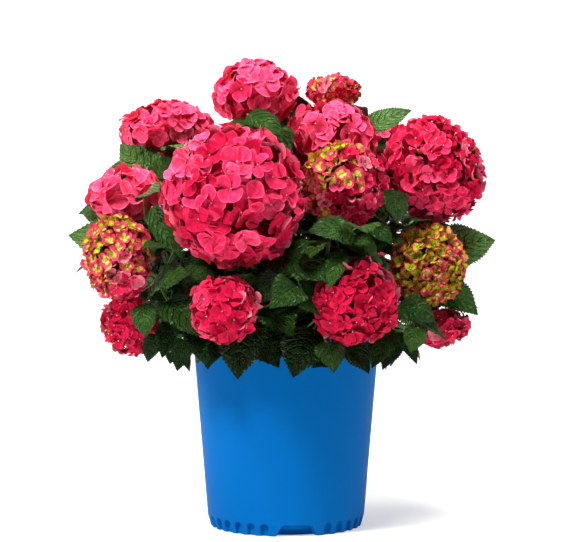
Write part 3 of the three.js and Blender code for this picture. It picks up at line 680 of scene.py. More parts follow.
# Meshes. A part is the points of n like surfaces, n x m x 3, faces that index the m points, a material slot
# for each surface, and a place on its texture for each of the m points

bakeGap = 0.02  # of a tile's side


def part(points, faces, slots=0, uv=None):
    points = np.asarray(points, float)
    points = points if points.ndim == 3 else points[None]
    return SimpleNamespace(points=points, faces=faces, slots=np.broadcast_to(slots, len(points)), uv=uv)


def skin(rows, columns, closed=False):  # quads of a grid whose points are numbered row by row
    r, c = np.mgrid[0:rows - 1, 0:columns if closed else columns - 1]
    d = (c + 1) % columns
    corners = np.stack([r * columns + c, r * columns + d, (r + 1) * columns + d, (r + 1) * columns + c], -1)
    return corners.reshape(-1, 4)


def fan(ring, pole, turned=False):  # triangles from a ring of points to the point at its middle
    ring = np.asarray(ring)
    after = np.roll(ring, -1)
    middle = np.full(len(ring), pole)
    return np.stack([after, ring, middle] if turned else [ring, after, middle], -1)


def makePiece(name, parts, finishes, nodes, mapName=None, sharpAngle=None):
    points, corners, sizes, slots, uvs = [], [], [], [], []
    base = 0
    for one in parts:
        n, m = one.points.shape[:2]
        for faces in one.faces:
            shift = base + np.arange(n)[:, None, None] * m
            corners.append((faces + shift).ravel())
            sizes.append(np.full(n * len(faces), faces.shape[1]))
            slots.append(np.repeat(one.slots, len(faces)))
            if mapName:
                uvs.append(np.tile(one.uv[faces].reshape(-1, 2), (n, 1)))
        points.append(one.points.reshape(-1, 3))
        base += n * m
    points, corners, sizes, slots = map(np.concatenate, (points, corners, sizes, slots))
    mesh = bpy.data.meshes.new(name)
    mesh.vertices.add(len(points))
    mesh.vertices.foreach_set("co", (points * mm).ravel())
    mesh.loops.add(len(corners))
    mesh.loops.foreach_set("vertex_index", corners.astype(np.int32))
    mesh.polygons.add(len(sizes))
    mesh.polygons.foreach_set("loop_start", (np.cumsum(sizes) - sizes).astype(np.int32))
    for finish in finishes:
        mesh.materials.append(finish.material)
    mesh.polygons.foreach_set("material_index", slots.astype(np.int32))
    mesh.polygons.foreach_set("use_smooth", np.ones(len(sizes), bool))
    if mapName:  # the pattern's own map, and one for the bake with a tile for each material
        own = np.concatenate(uvs)
        across = math.ceil(math.sqrt(len(finishes)))
        tile = np.repeat(slots, sizes)
        corner = np.stack([tile % across, tile // across], -1)
        baked = (corner + bakeGap + own * (1 - 2 * bakeGap)) / across
        for label, place in ((mapName, own), ("OFBake", baked)):
            mesh.uv_layers.new(name=label).data.foreach_set("uv", place.ravel().astype(np.float32))
        mesh.uv_layers[mapName].active_render = True
    mesh.update(calc_edges=True)
    if sharpAngle:
        mesh.set_sharp_from_angle(angle=math.radians(sharpAngle))
    piece = bpy.data.objects.new(name, mesh)
    bpy.context.scene.collection.objects.link(piece)
    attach(piece, "root")
    if nodes:
        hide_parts(*nodes)
    print(f"{name}: {int((sizes - 2).sum())} triangles")
    return piece


def tubes(paths, radii, sides, relief=None):  # rings carried along n paths, n x m x 3, closed at both ends
    paths = np.asarray(paths, float)
    n, m = paths.shape[:2]
    run = unit(np.gradient(paths, axis=1))
    chord = unit(paths[:, -1] - paths[:, 0])
    helper = np.where(np.abs(chord[:, 2:]) > 0.8, (1.0, 0.0, 0.0), (0.0, 0.0, 1.0))[:, None]
    side = unit(np.cross(run, helper))
    other = np.cross(run, side)
    turn = np.arange(sides) * 2 * np.pi / sides
    out = side[:, :, None] * np.cos(turn)[:, None] + other[:, :, None] * np.sin(turn)[:, None]
    radii = np.broadcast_to(radii, (n, m))[:, :, None, None]
    rings = paths[:, :, None] + out * radii
    if relief is not None:
        rings = rings + out * relief(rings)[..., None]
    points = np.concatenate([rings.reshape(n, -1, 3), paths[:, :1], paths[:, -1:]], 1)
    first, last = np.arange(sides), np.arange(sides) + (m - 1) * sides
    caps = np.concatenate([fan(first, m * sides, True), fan(last, m * sides + 1)])
    return points, [skin(m, sides, True), caps]


# Materials. A Wire is one socket, and arithmetic on it adds the nodes that work it out

def colour(red, green, blue):  # from a screen's 0 to 255 to the light it stands for
    share = np.array([red, green, blue]) / 255
    return (*np.where(share > 0.04045, ((share + 0.055) / 1.055) ** 2.4, share / 12.92), 1.0)


class Wire:
    def __init__(self, finish, socket):
        self.finish = finish
        self.socket = socket

    def math(self, operation, *values):
        return self.finish.node("ShaderNodeMath", {"operation": operation}, dict(enumerate(values)))

    def __add__(self, other):
        return self.math("ADD", self, other)

    def __sub__(self, other):
        return self.math("SUBTRACT", self, other)

    def __rsub__(self, other):
        return self.math("SUBTRACT", other, self)

    def __mul__(self, other):
        return self.math("MULTIPLY", self, other)

    def __truediv__(self, other):
        return self.math("DIVIDE", self, other)

    def __pow__(self, other):
        return self.math("POWER", self, other)

    def __abs__(self):
        return self.math("ABSOLUTE", self)

    __radd__ = __add__
    __rmul__ = __mul__

    def sine(self):
        return self.math("SINE", self)

    def fraction(self):
        return self.math("FRACT", self)

    def rising(self, low, high):  # 0 below low and 1 above high, smooth between
        settings = {"interpolation_type": "SMOOTHSTEP"}
        return self.finish.node("ShaderNodeMapRange", settings, {0: self, 1: low, 2: high, 3: 0, 4: 1})


class Finish:
    def __init__(self, name, **constants):
        self.material = bpy.data.materials.new(name)
        self.material.use_nodes = True
        self.nodes = self.material.node_tree.nodes
        self.links = self.material.node_tree.links
        self.shader = self.nodes["Principled BSDF"]
        for socket, value in constants.items():
            self.shader.inputs[socket.replace("_", " ")].default_value = value

    def node(self, kind, settings=None, sockets=None, output=0):
        made = self.nodes.new(kind)
        for name, value in (settings or {}).items():
            setattr(made, name, value)
        for key, value in (sockets or {}).items():
            self.plug(made.inputs[key], value)
        return Wire(self, made.outputs[output])

    def plug(self, socket, value):
        if isinstance(value, Wire):
            self.links.new(value.socket, socket)
        else:
            socket.default_value = value

    def set(self, **values):
        for key, value in values.items():
            self.plug(self.shader.inputs[key.replace("_", " ")], value)

    def place(self):  # where the surface is on the object, in metres
        return self.node("ShaderNodeTexCoord", output="Object")

    def axis(self, at, name):  # one of the three numbers of a vector
        return self.node("ShaderNodeSeparateXYZ", {}, {0: at}, name)

    def map(self, name):  # the two ways across the piece's own map
        at = self.node("ShaderNodeUVMap", {"uv_map": name})
        return self.axis(at, "X"), self.axis(at, "Y")

    def join(self, x, y, z=0.0):
        return self.node("ShaderNodeCombineXYZ", {}, {0: x, 1: y, 2: z})

    def stretched(self, at, x, y, z):
        return self.node("ShaderNodeVectorMath", {"operation": "MULTIPLY"}, {0: at, 1: (x, y, z)})

    def noise(self, at, scale, detail=3, roughness=0.55):
        sockets = {"Vector": at, "Scale": scale, "Detail": detail, "Roughness": roughness}
        return self.node("ShaderNodeTexNoise", {}, sockets)

    def cells(self, at, scale):  # 0 at the edges between cells
        settings = {"feature": "DISTANCE_TO_EDGE"}
        return self.node("ShaderNodeTexVoronoi", settings, {"Vector": at, "Scale": scale})

    def mix(self, share, one, other):
        return self.node("ShaderNodeMix", {"data_type": "RGBA"}, {0: share, 6: one, 7: other}, 2)

    def bump(self, height, distance, strength=1.0):
        return self.node("ShaderNodeBump", {}, {"Height": height, "Distance": distance, "Strength": strength})


# The pot's blue plastic

potFinish = dict(blue=colour(0, 97, 172), worn=colour(0, 112, 186), dust=colour(20, 116, 172), roughness=0.5)


def makePotPlastic():
    f = Finish("pot_blue_plastic", IOR=1.46, Specular_IOR_Level=0.03)
    at = f.place()
    cloud = f.noise(at, 9, 4)
    scuffs = f.noise(f.stretched(at, 90, 90, 7), 6, 5, 0.7).rising(0.58, 0.78)
    specks = f.noise(at, 700, 2).rising(0.68, 0.78)
    low = 1 - f.axis(at, "Z").rising(0.0, 0.035)
    grain = f.noise(at, 260, 3)
    blue = f.mix(scuffs * 0.3 + cloud * 0.3, potFinish["blue"], potFinish["worn"])
    blue = f.mix(specks * 0.05 + low * cloud * 0.15, blue, potFinish["dust"])
    roughness = potFinish["roughness"] + scuffs * 0.14 + cloud * 0.1 + specks * 0.2
    f.set(Base_Color=blue, Roughness=roughness, Normal=f.bump(cloud * 0.4 + grain * 0.25, 0.0004))
    return f


# The pot's shell. Its radius is the turned profile's, pulled in to the back of each slot and notch where the
# signed distance to their outline is negative, and the floor's edge is lifted to open each notch through

potShell = dict(
    columns=720, footRows=30, wallRows=22, footShare=0.075, belowLip=3, wallBend=1.6, footBend=1.2,
    bendSteps=5, floorPole=8, underPole=6, floorBevel=2, edge=0.55, notchRound=2.2, cutBelow=30, cutOutside=1,
    slotFrom=1.5, ringFrom=4, groundReach=9, leftOver=0.5,
)
notchLean = (drainNotch["bottomWidth"] - drainNotch["topWidth"]) / 2 / drainNotch["height"]


def alongFoot(turn, bearing):  # the way round the foot from a bearing, in millimetres
    return np.radians((turn - bearing + 180) % 360 - 180) * pot["footRadius"]


def cutIn(gap):  # from the distance outside an outline: 1 inside it, 0 outside, and a soft edge
    return 1 - smoothly(-potShell["edge"], potShell["edge"], gap)


def notchGap(x, z):  # distance outside a trapezoid that stands on the ground, with rounded upper corners
    r = potShell["notchRound"]
    side = (np.abs(x) - drainNotch["bottomWidth"] / 2 + z * notchLean) / math.hypot(1, notchLean) + r
    top = z - drainNotch["height"] + r
    return np.hypot(np.maximum(side, 0), np.maximum(top, 0)) + np.minimum(np.maximum(side, top), 0) - r


def slotGap(x, z):  # distance outside a slot with a round top
    r = footSlot["width"] / 2
    return np.where(z > footSlot["height"] - r, np.hypot(x, z - footSlot["height"] + r), np.abs(x)) - r


def rounded(profile, radius):  # each corner of a profile becomes a short bend
    profile = np.array(profile, float)
    rows = [profile[:1]]
    for before, corner, after in zip(profile, profile[1:], profile[2:]):
        cut = min(radius, lengthOf(before - corner) * 0.45, lengthOf(after - corner) * 0.45)
        start, end = corner + unit(before - corner) * cut, corner + unit(after - corner) * cut
        rows.append(bendPoints((start, corner, end), np.linspace(0, 1, potShell["bendSteps"])))
    return np.concatenate(rows + [profile[-1:]])


def potProfile():  # radius and height from the middle of the underside round to the middle of the floor
    lipBottom = pot["height"] - pot["lipHeight"]
    lip, slope, bevel = wallRadius(lipBottom) + pot["lipOut"], pot["lipSlope"], pot["lipBevel"]
    inner = [wallRadius(z) - pot["wall"] for z in (pot["height"], pot["floorTop"])]
    high = np.linspace(0, pot["height"] * potShell["footShare"], potShell["footRows"])
    wide = np.interp(high, (0, pot["shoulderHeight"]), (pot["footRadius"], pot["shoulderRadius"]))
    foot = np.stack([wide + np.maximum(high - pot["shoulderHeight"], 0) * pot["taper"], high], -1)
    wall = np.linspace(foot[-1, 1], lipBottom - potShell["belowLip"], potShell["wallRows"])[1:]
    wall = np.stack([wallRadius(wall), wall], -1)
    upper = rounded([
        wall[-1], (wallRadius(lipBottom), lipBottom), (lip, lipBottom + bevel), (lip + slope, pot["height"]),
        (inner[0], pot["height"]), (inner[1], pot["floorTop"]), (potShell["floorPole"], pot["floorTop"]),
    ], potShell["wallBend"])[1:]
    under = rounded([
        (potShell["underPole"], pot["underFloor"]),
        (pot["footInner"] - potShell["floorBevel"], pot["underFloor"]), (pot["footInner"], 0), foot[0],
    ], potShell["footBend"])
    profile = np.concatenate([under[:-1], foot, wall, upper])
    isOutside = (np.arange(len(profile)) >= len(under) - 1) & (profile[:, 1] < potShell["cutBelow"])
    return profile, isOutside & (profile[:, 0] > pot["footRadius"] - potShell["cutOutside"])


def potParts():
    profile, isOutside = potProfile()
    isOutside = isOutside[:, None]
    turn = np.arange(potShell["columns"]) * 360 / potShell["columns"]
    r = np.repeat(profile[:, :1], len(turn), 1)
    z = np.repeat(profile[:, 1:], len(turn), 1)
    slotBack = pot["footRadius"] + potShell["slotFrom"] - footSlot["depth"]
    bay = 360 / drainNotch["count"]
    for i in range(drainNotch["count"]):
        bearing = drainNotch["bearing"] + i * bay
        x = alongFoot(turn, bearing)
        r = np.where(isOutside, r - (r - drainNotch["backRadius"]) * cutIn(notchGap(x, z)), r)
        lifted = (drainNotch["bottomWidth"] / 2 - np.abs(x)) / notchLean
        lifted = np.clip(lifted, 0, pot["underFloor"] - potShell["leftOver"])
        ring = profile[:, :1] > pot["footInner"] - potShell["ringFrom"]
        ring = ring & (r < drainNotch["backRadius"] + potShell["groundReach"] * (z < 0.01))
        z = np.where(ring, np.maximum(z, lifted), z)
        for k in range(footSlot["perBay"]):
            at = bearing + bay / 2 + (k - (footSlot["perBay"] - 1) / 2) * footSlot["step"]
            slot = cutIn(slotGap(alongFoot(turn, at), z))
            r = np.where(isOutside, np.minimum(r, r - (r - slotBack) * slot), r)
    angle = np.radians(turn)
    points = np.stack([r * np.cos(angle), r * np.sin(angle), z], -1).reshape(-1, 3)
    rows, columns = r.shape
    ends = np.array([[0, 0, pot["underFloor"]], [0, 0, pot["floorTop"]]])
    first, last = np.arange(columns), np.arange(columns) + (rows - 1) * columns
    poles = np.concatenate([fan(first, rows * columns, True), fan(last, rows * columns + 1)])
    return [part(np.concatenate([points, ends]), [skin(rows, columns, True), poles])]


print("making the pot")
makePiece("pot_shell", potParts(), [makePotPlastic()], ["pot"], sharpAngle=32)

# The potting mix: a lumpy bed, and chips of bark on it

bed = dict(
    rings=34, columns=150, lump=2.2, lumpSize=22, fine=0.9, fineSize=7, wallGap=0.3, innerDrop=2, skirt=12,
)
mixTints = dict(dark=colour(22, 14, 9), light=colour(74, 50, 33), grit=colour(150, 140, 122))
chip = dict(count=620, size=(2.5, 7.5), beyond=18, thick=0.16, topShare=0.86, tilt=0.45, fallBeyond=28)
chipTints = dict(dark=colour(46, 28, 17), light=colour(120, 82, 52), cloud=colour(70, 47, 32))


def makeMixFinish():
    f = Finish("moist_potting_mix", Roughness=0.92)
    at = f.place()
    grain, lumps = f.noise(at, 420, 5, 0.7), f.noise(at, 60, 3)
    base = f.mix(grain.rising(0.3, 0.7), mixTints["dark"], mixTints["light"])
    base = f.mix(f.noise(at, 900, 2).rising(0.68, 0.74), base, mixTints["grit"])
    f.set(Base_Color=base, Normal=f.bump(grain + lumps, 0.0016))
    return f


def makeChipFinish():
    f = Finish("bark_chip", Roughness=0.88)
    at = f.place()
    grain = f.noise(f.stretched(at, 1, 1, 3), 300, 4, 0.65)
    base = f.mix(grain.rising(0.3, 0.75), chipTints["dark"], chipTints["light"])
    base = f.mix(f.noise(at, 70, 2).rising(0.4, 0.7), base, chipTints["cloud"])
    f.set(Base_Color=base, Normal=f.bump(grain, 0.0008))
    return f


def bedParts():  # z = the bed's profile with two sizes of lump; the rim of the bed meets the wall
    edge = mix["top"] - mix["edgeDrop"]
    wall = wallRadius(edge) - pot["wall"] - bed["wallGap"]
    r = np.linspace(1, wall, bed["rings"])
    level = (mix["top"], mix["top"] - bed["innerDrop"], edge)
    z = np.interp(r, (mix["flatRadius"], mix["innerRadius"], wall), level)
    turn = np.arange(bed["columns"]) * 2 * np.pi / bed["columns"]
    x, y = r[:, None] * np.cos(turn), r[:, None] * np.sin(turn)
    flat = np.stack([x, y, np.zeros_like(x)], -1)
    level = z[:, None] + bed["lump"] * ripple(flat, bed["lumpSize"], 4)
    level = level + bed["fine"] * ripple(flat, bed["fineSize"], 5, 16) - bed["lump"]
    top = np.stack([x, y, level], -1)
    skirt = top[-1:] - up * bed["skirt"]
    points = np.concatenate([skirt, top[::-1]]).reshape(-1, 3)
    rows, columns = bed["rings"] + 1, bed["columns"]
    faces = [skin(rows, columns, True), fan(np.arange(columns) + (rows - 1) * columns, rows * columns)]
    return [part(np.vstack([points, [0, 0, level[0].mean()]]), faces)]


def chipParts():  # lying flakes: a six-sided outline, a domed top and a flat underside
    random = np.random.default_rng(12)
    n = chip["count"]
    at = np.sqrt(random.uniform(0.02, 1, n)) * (mix["innerRadius"] + chip["beyond"])
    turn, spin = random.uniform(0, 2 * np.pi, (2, n))
    size = random.uniform(*chip["size"], n)
    edge = np.arange(6) * np.pi / 3 + random.uniform(-0.35, 0.35, (n, 6))
    long = random.uniform(0.45, 0.8, (n, 1))
    reach = random.uniform(0.75, 1.1, (n, 6)) * size[:, None]
    x, y = np.cos(edge) * reach, np.sin(edge) * reach * long
    cosine, sine = np.cos(spin)[:, None], np.sin(spin)[:, None]
    x, y = x * cosine - y * sine, x * sine + y * cosine
    tilt = random.uniform(-chip["tilt"], chip["tilt"], (n, 2))
    z = x * tilt[:, :1] + y * tilt[:, 1:]
    outer = (mix["innerRadius"], mix["innerRadius"] + chip["fallBeyond"])
    level = np.interp(at, outer, (mix["top"] - 1, mix["top"] - mix["edgeDrop"]))
    centre = np.stack([at * np.cos(turn), at * np.sin(turn), level], -1)
    ring = np.stack([x, y, z], -1)
    thick = size[:, None, None] * chip["thick"] * up
    upper, lower = ring * chip["topShare"] + thick, ring - thick
    points = np.concatenate([lower, upper, thick * 1.5, thick * -1.1], 1) + centre[:, None]
    faces = [skin(2, 6, True), np.concatenate([fan(np.arange(6) + 6, 12), fan(np.arange(6), 13, True)])]
    return [part(points, faces)]


print("making the potting mix")
makePiece("mix_bed", bedParts(), [makeMixFinish()], ["potting_mix"])
makePiece("bark_chips", chipParts(), [makeChipFinish()], [], sharpAngle=30)

# The crown and the woody canes. Peeling bark lies in long ridges, and a swollen ring stands at each pair of
# leaf scars

wood = dict(
    sides=20, rows=110, under=0.4, ridge=0.32, ridgeSize=2.6, flake=0.28, flakeSize=9, drawnOut=0.12,
    firstRing=12, ringEvery=26, ringRise=0.7, ringWide=1.6,
)
stump = dict(
    columns=96, heights=(-3, 0, 3, 6, 10, 14, 18, 22, 26, 29, 31.5, 33.2), at=(0, 8.5, 18.7, 30.6, 34),
    radii=(crown["footRadius"], 20, crown["neckRadius"], 13, 5), swell=1.4, under=1.2, ridge=0.9, ridgeSize=6,
)
barkTints = dict(dark=colour(84, 62, 42), light=colour(168, 140, 104), flake=colour(120, 92, 64))


def makeBark():
    f = Finish("tan_bark", Roughness=0.85)
    at = f.place()
    streaks, flakes = f.noise(f.stretched(at, 1, 1, 0.16), 420, 4, 0.6), f.noise(at, 120, 3)
    base = f.mix(streaks.rising(0.32, 0.68), barkTints["dark"], barkTints["light"])
    base = f.mix(flakes.rising(0.5, 0.7), base, barkTints["flake"])
    f.set(Base_Color=base, Normal=f.bump(streaks + flakes * 0.6, 0.0007))
    return f


def caneParts():  # radius tapers, with ridges from a ripple drawn out along the cane, and swells at the rings
    parts = []
    for number, c in enumerate(canes):
        share = np.linspace(0, 1, wood["rows"])
        path = alongCurve(c.curve, share)
        far = share * curveLength(c.curve)
        fromRing = np.mod(far - wood["firstRing"], wood["ringEvery"]) - wood["ringEvery"] / 2
        swell = np.exp(-(fromRing / wood["ringWide"]) ** 2) * wood["ringRise"]
        radii = lerp(cane["baseRadius"], cane["tipRadius"], share) + swell - wood["under"]

        def relief(rings):
            long = rings * np.array([1, 1, wood["drawnOut"]])
            ridges = wood["ridge"] * ripple(long, wood["ridgeSize"], 30 + number, 16)
            return ridges + wood["flake"] * ripple(rings, wood["flakeSize"], 50 + number)

        parts.append(part(*tubes(path[None], radii, wood["sides"], relief)))
    return parts


def crownParts():  # r = the stump's profile, swollen under each cane and ridged
    columns = stump["columns"]
    turn = np.arange(columns) * 2 * np.pi / columns
    high = np.array(stump["heights"])
    r = np.interp(high, stump["at"], stump["radii"])
    flat = np.stack([np.cos(turn), np.sin(turn), np.zeros(columns)], -1)
    buds = np.max([flat @ heading(canes[0].bearing + i * 360 / len(canes)) for i in range(len(canes))], 0)
    rings = r[:, None, None] * flat + (mix["top"] + high)[:, None, None] * up
    ridges = stump["ridge"] * ripple(rings * np.array([1, 1, 0.3]), stump["ridgeSize"], 70, 14)
    grow = smoothly(0.9, 1, buds) * stump["swell"] - stump["under"] + ridges
    rings = rings + flat * grow[..., None]
    points = np.vstack([rings.reshape(-1, 3), up * (mix["top"] + crown["height"] - 0.4)])
    rows = len(high)
    top = fan(np.arange(columns) + (rows - 1) * columns, rows * columns)
    return [part(points, [skin(rows, columns, True), top])]


print("making the canes")
barkFinish = makeBark()
makePiece("crown_stump", crownParts(), [barkFinish], ["crown"])
makePiece("woody_canes", caneParts(), [barkFinish], ["cane_" + c.name for c in canes])

# Green stems and petioles; the stalks inside each head are made with the heads

green = dict(
    under=0.1, stemSides=10, stemRows=30, petioleSides=6, petioleRows=8, petioleSag=0.1, petioleReach=1.02,
    petioleRadii=((0, 0.12, 1), (2.0, 1.4, 1.0)),
)
stemTints = dict(light=colour(72, 110, 44), pale=colour(128, 158, 78), speck=colour(96, 70, 48))


def makeStemFinish():
    f = Finish("green_stem", Roughness=0.5)
    at = f.place()
    cloud, specks = f.noise(f.stretched(at, 1, 1, 0.25), 130, 3), f.noise(at, 900, 2).rising(0.62, 0.7)
    base = f.mix(cloud.rising(0.3, 0.7), stemTints["light"], stemTints["pale"])
    f.set(Base_Color=f.mix(specks * 0.6, base, stemTints["speck"]), Normal=f.bump(cloud, 0.0004))
    return f


def stemParts():
    share = np.linspace(0, 1, green["stemRows"])
    paths = np.array([alongCurve(g.curve, share) for g in growers])
    radii = lerp(stem["baseRadius"], stem["tipRadius"], share) - green["under"]
    parts = [part(*tubes(paths, radii, green["stemSides"]))]
    node, base = np.array([l.node for l in allLeaves]), np.array([l.base for l in allLeaves])
    sag = up * lengthOf(base - node)[:, None] * green["petioleSag"]
    t = np.linspace(0, 1, green["petioleRows"])[:, None]
    # from inside the stem to just past the blade's foot, hanging a little below the straight line
    straight = node[:, None] + (base - node)[:, None] * t * green["petioleReach"]
    paths = straight - sag[:, None] * t * (1 - t) * 4
    parts.append(part(*tubes(paths, np.interp(t[:, 0], *green["petioleRadii"]), green["petioleSides"])))
    return parts


print("making the stems")
makePiece("green_stems", stemParts(), [makeStemFinish()], [])

# Leaves. u runs from the foot of the blade to its tip and v across it, from -1 to 1. The half width is
# 2.31 u^0.45 (1 - u)^0.85, drawn out at the tip; every other row of the margin is a tooth that leans forward

blade = dict(
    rows=41, columns=7, veins=7, thickness=0.45, toothOut=0.055, toothLean=0.45, drawnFrom=0.66, drawnBy=0.34,
    quilt=0.016, wave=0.08, droop=0.45, sideBend=0.05, roughness=0.34, underRoughness=0.6, relief=0.0034,
    archVary=(0.6, 1.25), foldVary=(0.6, 1.5), droopVary=(0.5, 1.6), waves=(1.4, 2.4), waveVary=(0.5, 1.6),
    veinStray=0.16, strayWaves=(5, 9), tintFrom=(1.2, 0.92, 0.62), tintSpread=0.25,
)
leafColours = dict(  # the blade and its veins; the first four are lit and shaded copies of one green, painted light and shade, dealt out by where a leaf is
    fresh=((76, 128, 52), (130, 168, 84)),
    mid=((46, 88, 28), (92, 138, 52)),
    deep=((27, 62, 16), (66, 110, 36)),
    dark=((12, 38, 8), (42, 80, 22)),
    under=((88, 126, 58), (140, 168, 100)),
)
tintOrder = tuple(leafColours)


def veinPhase(u, v):  # whole numbers are side veins, which run out and forward from the midrib
    return blade["veins"] * (u - 0.16 * v - 0.2 * v * v)


def makeLeafFinish(tint):
    isUnder = tint == "under"
    roughness = blade["underRoughness"] if isUnder else blade["roughness"]
    f = Finish("leaf_" + tint, Roughness=roughness, Specular_IOR_Level=0.26)
    plain, vein = (colour(*shade) for shade in leafColours[tint])
    shadow = colour(*leafColours["mid" if isUnder else "dark"][0])
    u, across = f.map("leafMap")
    v = abs(across * 2 - 1)
    wobble = f.noise(f.join(u * 7, across * 5), 1, 3)
    phase = veinPhase(u, v) + (wobble - 0.5) * 0.7
    toVein = abs((phase + 0.5).fraction() - 0.5)
    sideVein = (1 - toVein.rising(0.015, 0.07)) * (1 - v.rising(0.75, 0.98))
    midrib = 1 - v.rising(0.015, 0.05)
    net = f.cells(f.join(u * 17 - v * 4, across * 12), 1)
    netVein = 1 - net.rising(0.02, 0.12)
    puff = net.rising(0.0, 0.4)
    valley = 1 - toVein.rising(0.0, 0.22)
    cloud = f.noise(f.join(u * 3, across * 2), 1.3, 4)
    base = f.mix(cloud.rising(0.3, 0.72) * 0.4, plain, vein)
    # the valleys beside the side veins and the fine net of veins are painted darker, painted shade in the
    # creases
    base = f.mix(valley * 0.3 + netVein * 0.25, base, shadow)
    base = f.mix(sideVein * 0.6, base, vein)
    base = f.mix(midrib * 0.8, base, vein)
    height = sideVein * 0.4 + midrib - puff * 0.6 + valley * 0.8
    height = height * (1.0 if isUnder else -1.0) + wobble * 0.3
    f.set(Base_Color=base, Normal=f.bump(height, blade["relief"]))
    return f


def leafSurfaces(l, random):
    # ahead and rise follow an arc from base to tip; rise also has the fold, the quilting between the veins
    # and a wave along the margin, and the underside lies a thickness below the top
    u = np.linspace(0, 1, blade["rows"])[:, None]
    v = np.linspace(1, -1, blade["columns"])[None]
    edge = (np.abs(v) == 1) * (u > 0.04) * (u < 0.97)
    tooth = (np.arange(blade["rows"]) % 2)[:, None] * edge
    step = 1 / (blade["rows"] - 1)
    at = np.clip(u + tooth * blade["toothLean"] * step, 0, 1)
    drawn = 1 - blade["drawnBy"] * smoothly(blade["drawnFrom"], 1, u)
    plain = 2.31 * u ** 0.45 * (1 - u) ** 0.85 * drawn * l.width / 2
    half = plain * (1 + (tooth - 0.5) * edge * blade["toothOut"] * 2)
    along, face, sideways = bladeFrame(l)
    long = lengthOf(l.tip - l.base)
    bend = math.radians(l.arch * random.uniform(*blade["archVary"]))
    arc = long * 0.5 / math.sin(bend / 2)
    turn = bend / 2 - bend * at
    ahead = arc * (math.sin(bend / 2) - np.sin(turn))
    rise = arc * (np.cos(turn) - math.cos(bend / 2))
    side = v * half
    fold = math.radians(leaf["fold"] * random.uniform(*blade["foldVary"]))
    droop = blade["droop"] * random.uniform(*blade["droopVary"])
    rise = rise + np.abs(v) * plain * math.sin(fold) * (1 - droop * v * v)
    stray = np.sin(u * random.uniform(*blade["strayWaves"]) + np.abs(v) * 3 + random.uniform(0, 6))
    stray = stray * blade["veinStray"]
    quilting = np.sin(np.pi * (veinPhase(u, np.abs(v)) + stray)) ** 2
    quilting = quilting * np.minimum(np.abs(v) * 2.4, 1) * (1 - 0.6 * v * v) * np.minimum(plain / 8, 1)
    rise = rise + quilting * blade["quilt"] * l.width
    shift = random.uniform(0, 2 * np.pi, 2)
    wave = np.sin(at * 2 * np.pi * random.uniform(*blade["waves"]) + np.where(v > 0, shift[0], shift[1]))
    rise = rise + wave * blade["wave"] * plain * v * v * random.uniform(*blade["waveVary"])
    sway = blade["sideBend"] * long * random.uniform(-1, 1) * at * at * 4 * (1 - at)
    across = side * math.cos(fold) + sway
    top = l.base + along * ahead[..., None] + face * rise[..., None] + sideways * across[..., None]
    thin = blade["thickness"] * (1 - v ** 4) * np.sin(np.pi * u) ** 0.3
    return top, top - face * thin[..., None]


def leafShadingTint(l, random):  # dealt out leaf by leaf: paler further out and higher up, darker inside and lower in the plant, painted light and shade
    middle = (l.base + l.tip) / 2
    out = math.hypot(middle[0], middle[1]) / 210 + (middle[2] - 300) / 320
    out = out + random.uniform(-blade["tintSpread"], blade["tintSpread"])
    return sum(out <= edge for edge in blade["tintFrom"])


def leafParts(leaves):
    rows, columns = blade["rows"], blade["columns"]
    quads = skin(rows, columns)
    under = quads[:, ::-1]
    u, v = np.mgrid[0:rows, 0:columns] / np.array([rows - 1, columns - 1])[:, None, None]
    places = np.stack([u, 1 - v], -1).reshape(-1, 2)
    tops, unders, tints = [], [], []
    for l in leaves:
        random = np.random.default_rng(np.abs(l.base * 7).astype(int).tolist())
        top, bottom = leafSurfaces(l, random)
        tops.append(top.reshape(-1, 3))
        unders.append(bottom.reshape(-1, 3))
        tints.append(leafShadingTint(l, random))
    return [
        part(np.array(tops), [quads], tints, places),
        part(np.array(unders), [under], tintOrder.index("under"), places),
    ]


print("making the leaves")
leafFinishes = [makeLeafFinish(tint) for tint in tintOrder]
leafDivide = 10  # a leaf whose middle is in front of this goes into the first piece, the rest into the second
frontHalf = [l for l in allLeaves if (l.base[1] + l.tip[1]) / 2 < leafDivide]
backHalf = [l for l in allLeaves if (l.base[1] + l.tip[1]) / 2 >= leafDivide]
makePiece("leaves_front", leafParts(frontHalf), leafFinishes, [s.node for s in skirts], "leafMap")
makePiece("leaves_back", leafParts(backHalf), leafFinishes, [], "leafMap")

# Flower heads. Florets are spread over an ellipsoid by the golden angle. Each has four sepals, the second
# pair lying over the first, and a bead in the middle. A sepal is a disc that narrows to its foot, and it
# cups, arches across and ripples at its rim

floret = dict(
    golden=math.pi * (3 - math.sqrt(5)), fewest=12, cover=2.5, inner=0.42, innerCover=1.5, jitter=0.22,
    spacing=2.2, tilt=21, sink=0.2, depthSpread=3.0, deepest=-7, highest=2.5, sizes=(0.88, 1.1), budSize=0.86,
    lumps=0.06, pressFrom=1.0, beyond=0.6, sepalWide=0.58, foot=0.42, openCup=0.2, budCup=0.85, cupSpread=0.2,
    arch=0.1, archSpread=0.17, twist=13, spinSpread=0.09, rimWave=0.15, overlap=0.7, lift=0.3, point=0.1,
    bead=1.1, beadUp=1.2, pedicel=0.55, hubDrop=0.2, hubShare=0.25, pedicelSag=1.5,
)
spray = dict(  # how the tints are dealt out: up to which throw of the dice, and below which ripeness
    toneSpread=0.13, roseTo=0.36, ceriseTo=0.8, blushTo=0.65, blushBelow=0.76, buddingBelow=0.6,
    greenBelow=0.26, greenInside=0.6, paleHead=-0.3,
)
deeper = dict(  # how far the florets of a head are from the middle pink, towards rose, below 0, or crimson; partly each head's own colour and partly painted light and shade, the high heads paler and the low ones deeper
    top_left=-0.45, upper_left=-0.5, left=-0.42, centre=0.1, upper_right=-0.55, right=0.28, lower_left=0.2,
    low_left=0.6, centre_right=0.25, low_front_left=0.6, low_front_right=0.85, low_right=0.15, back_top=-0.2,
    back_far_right=0.2,
)
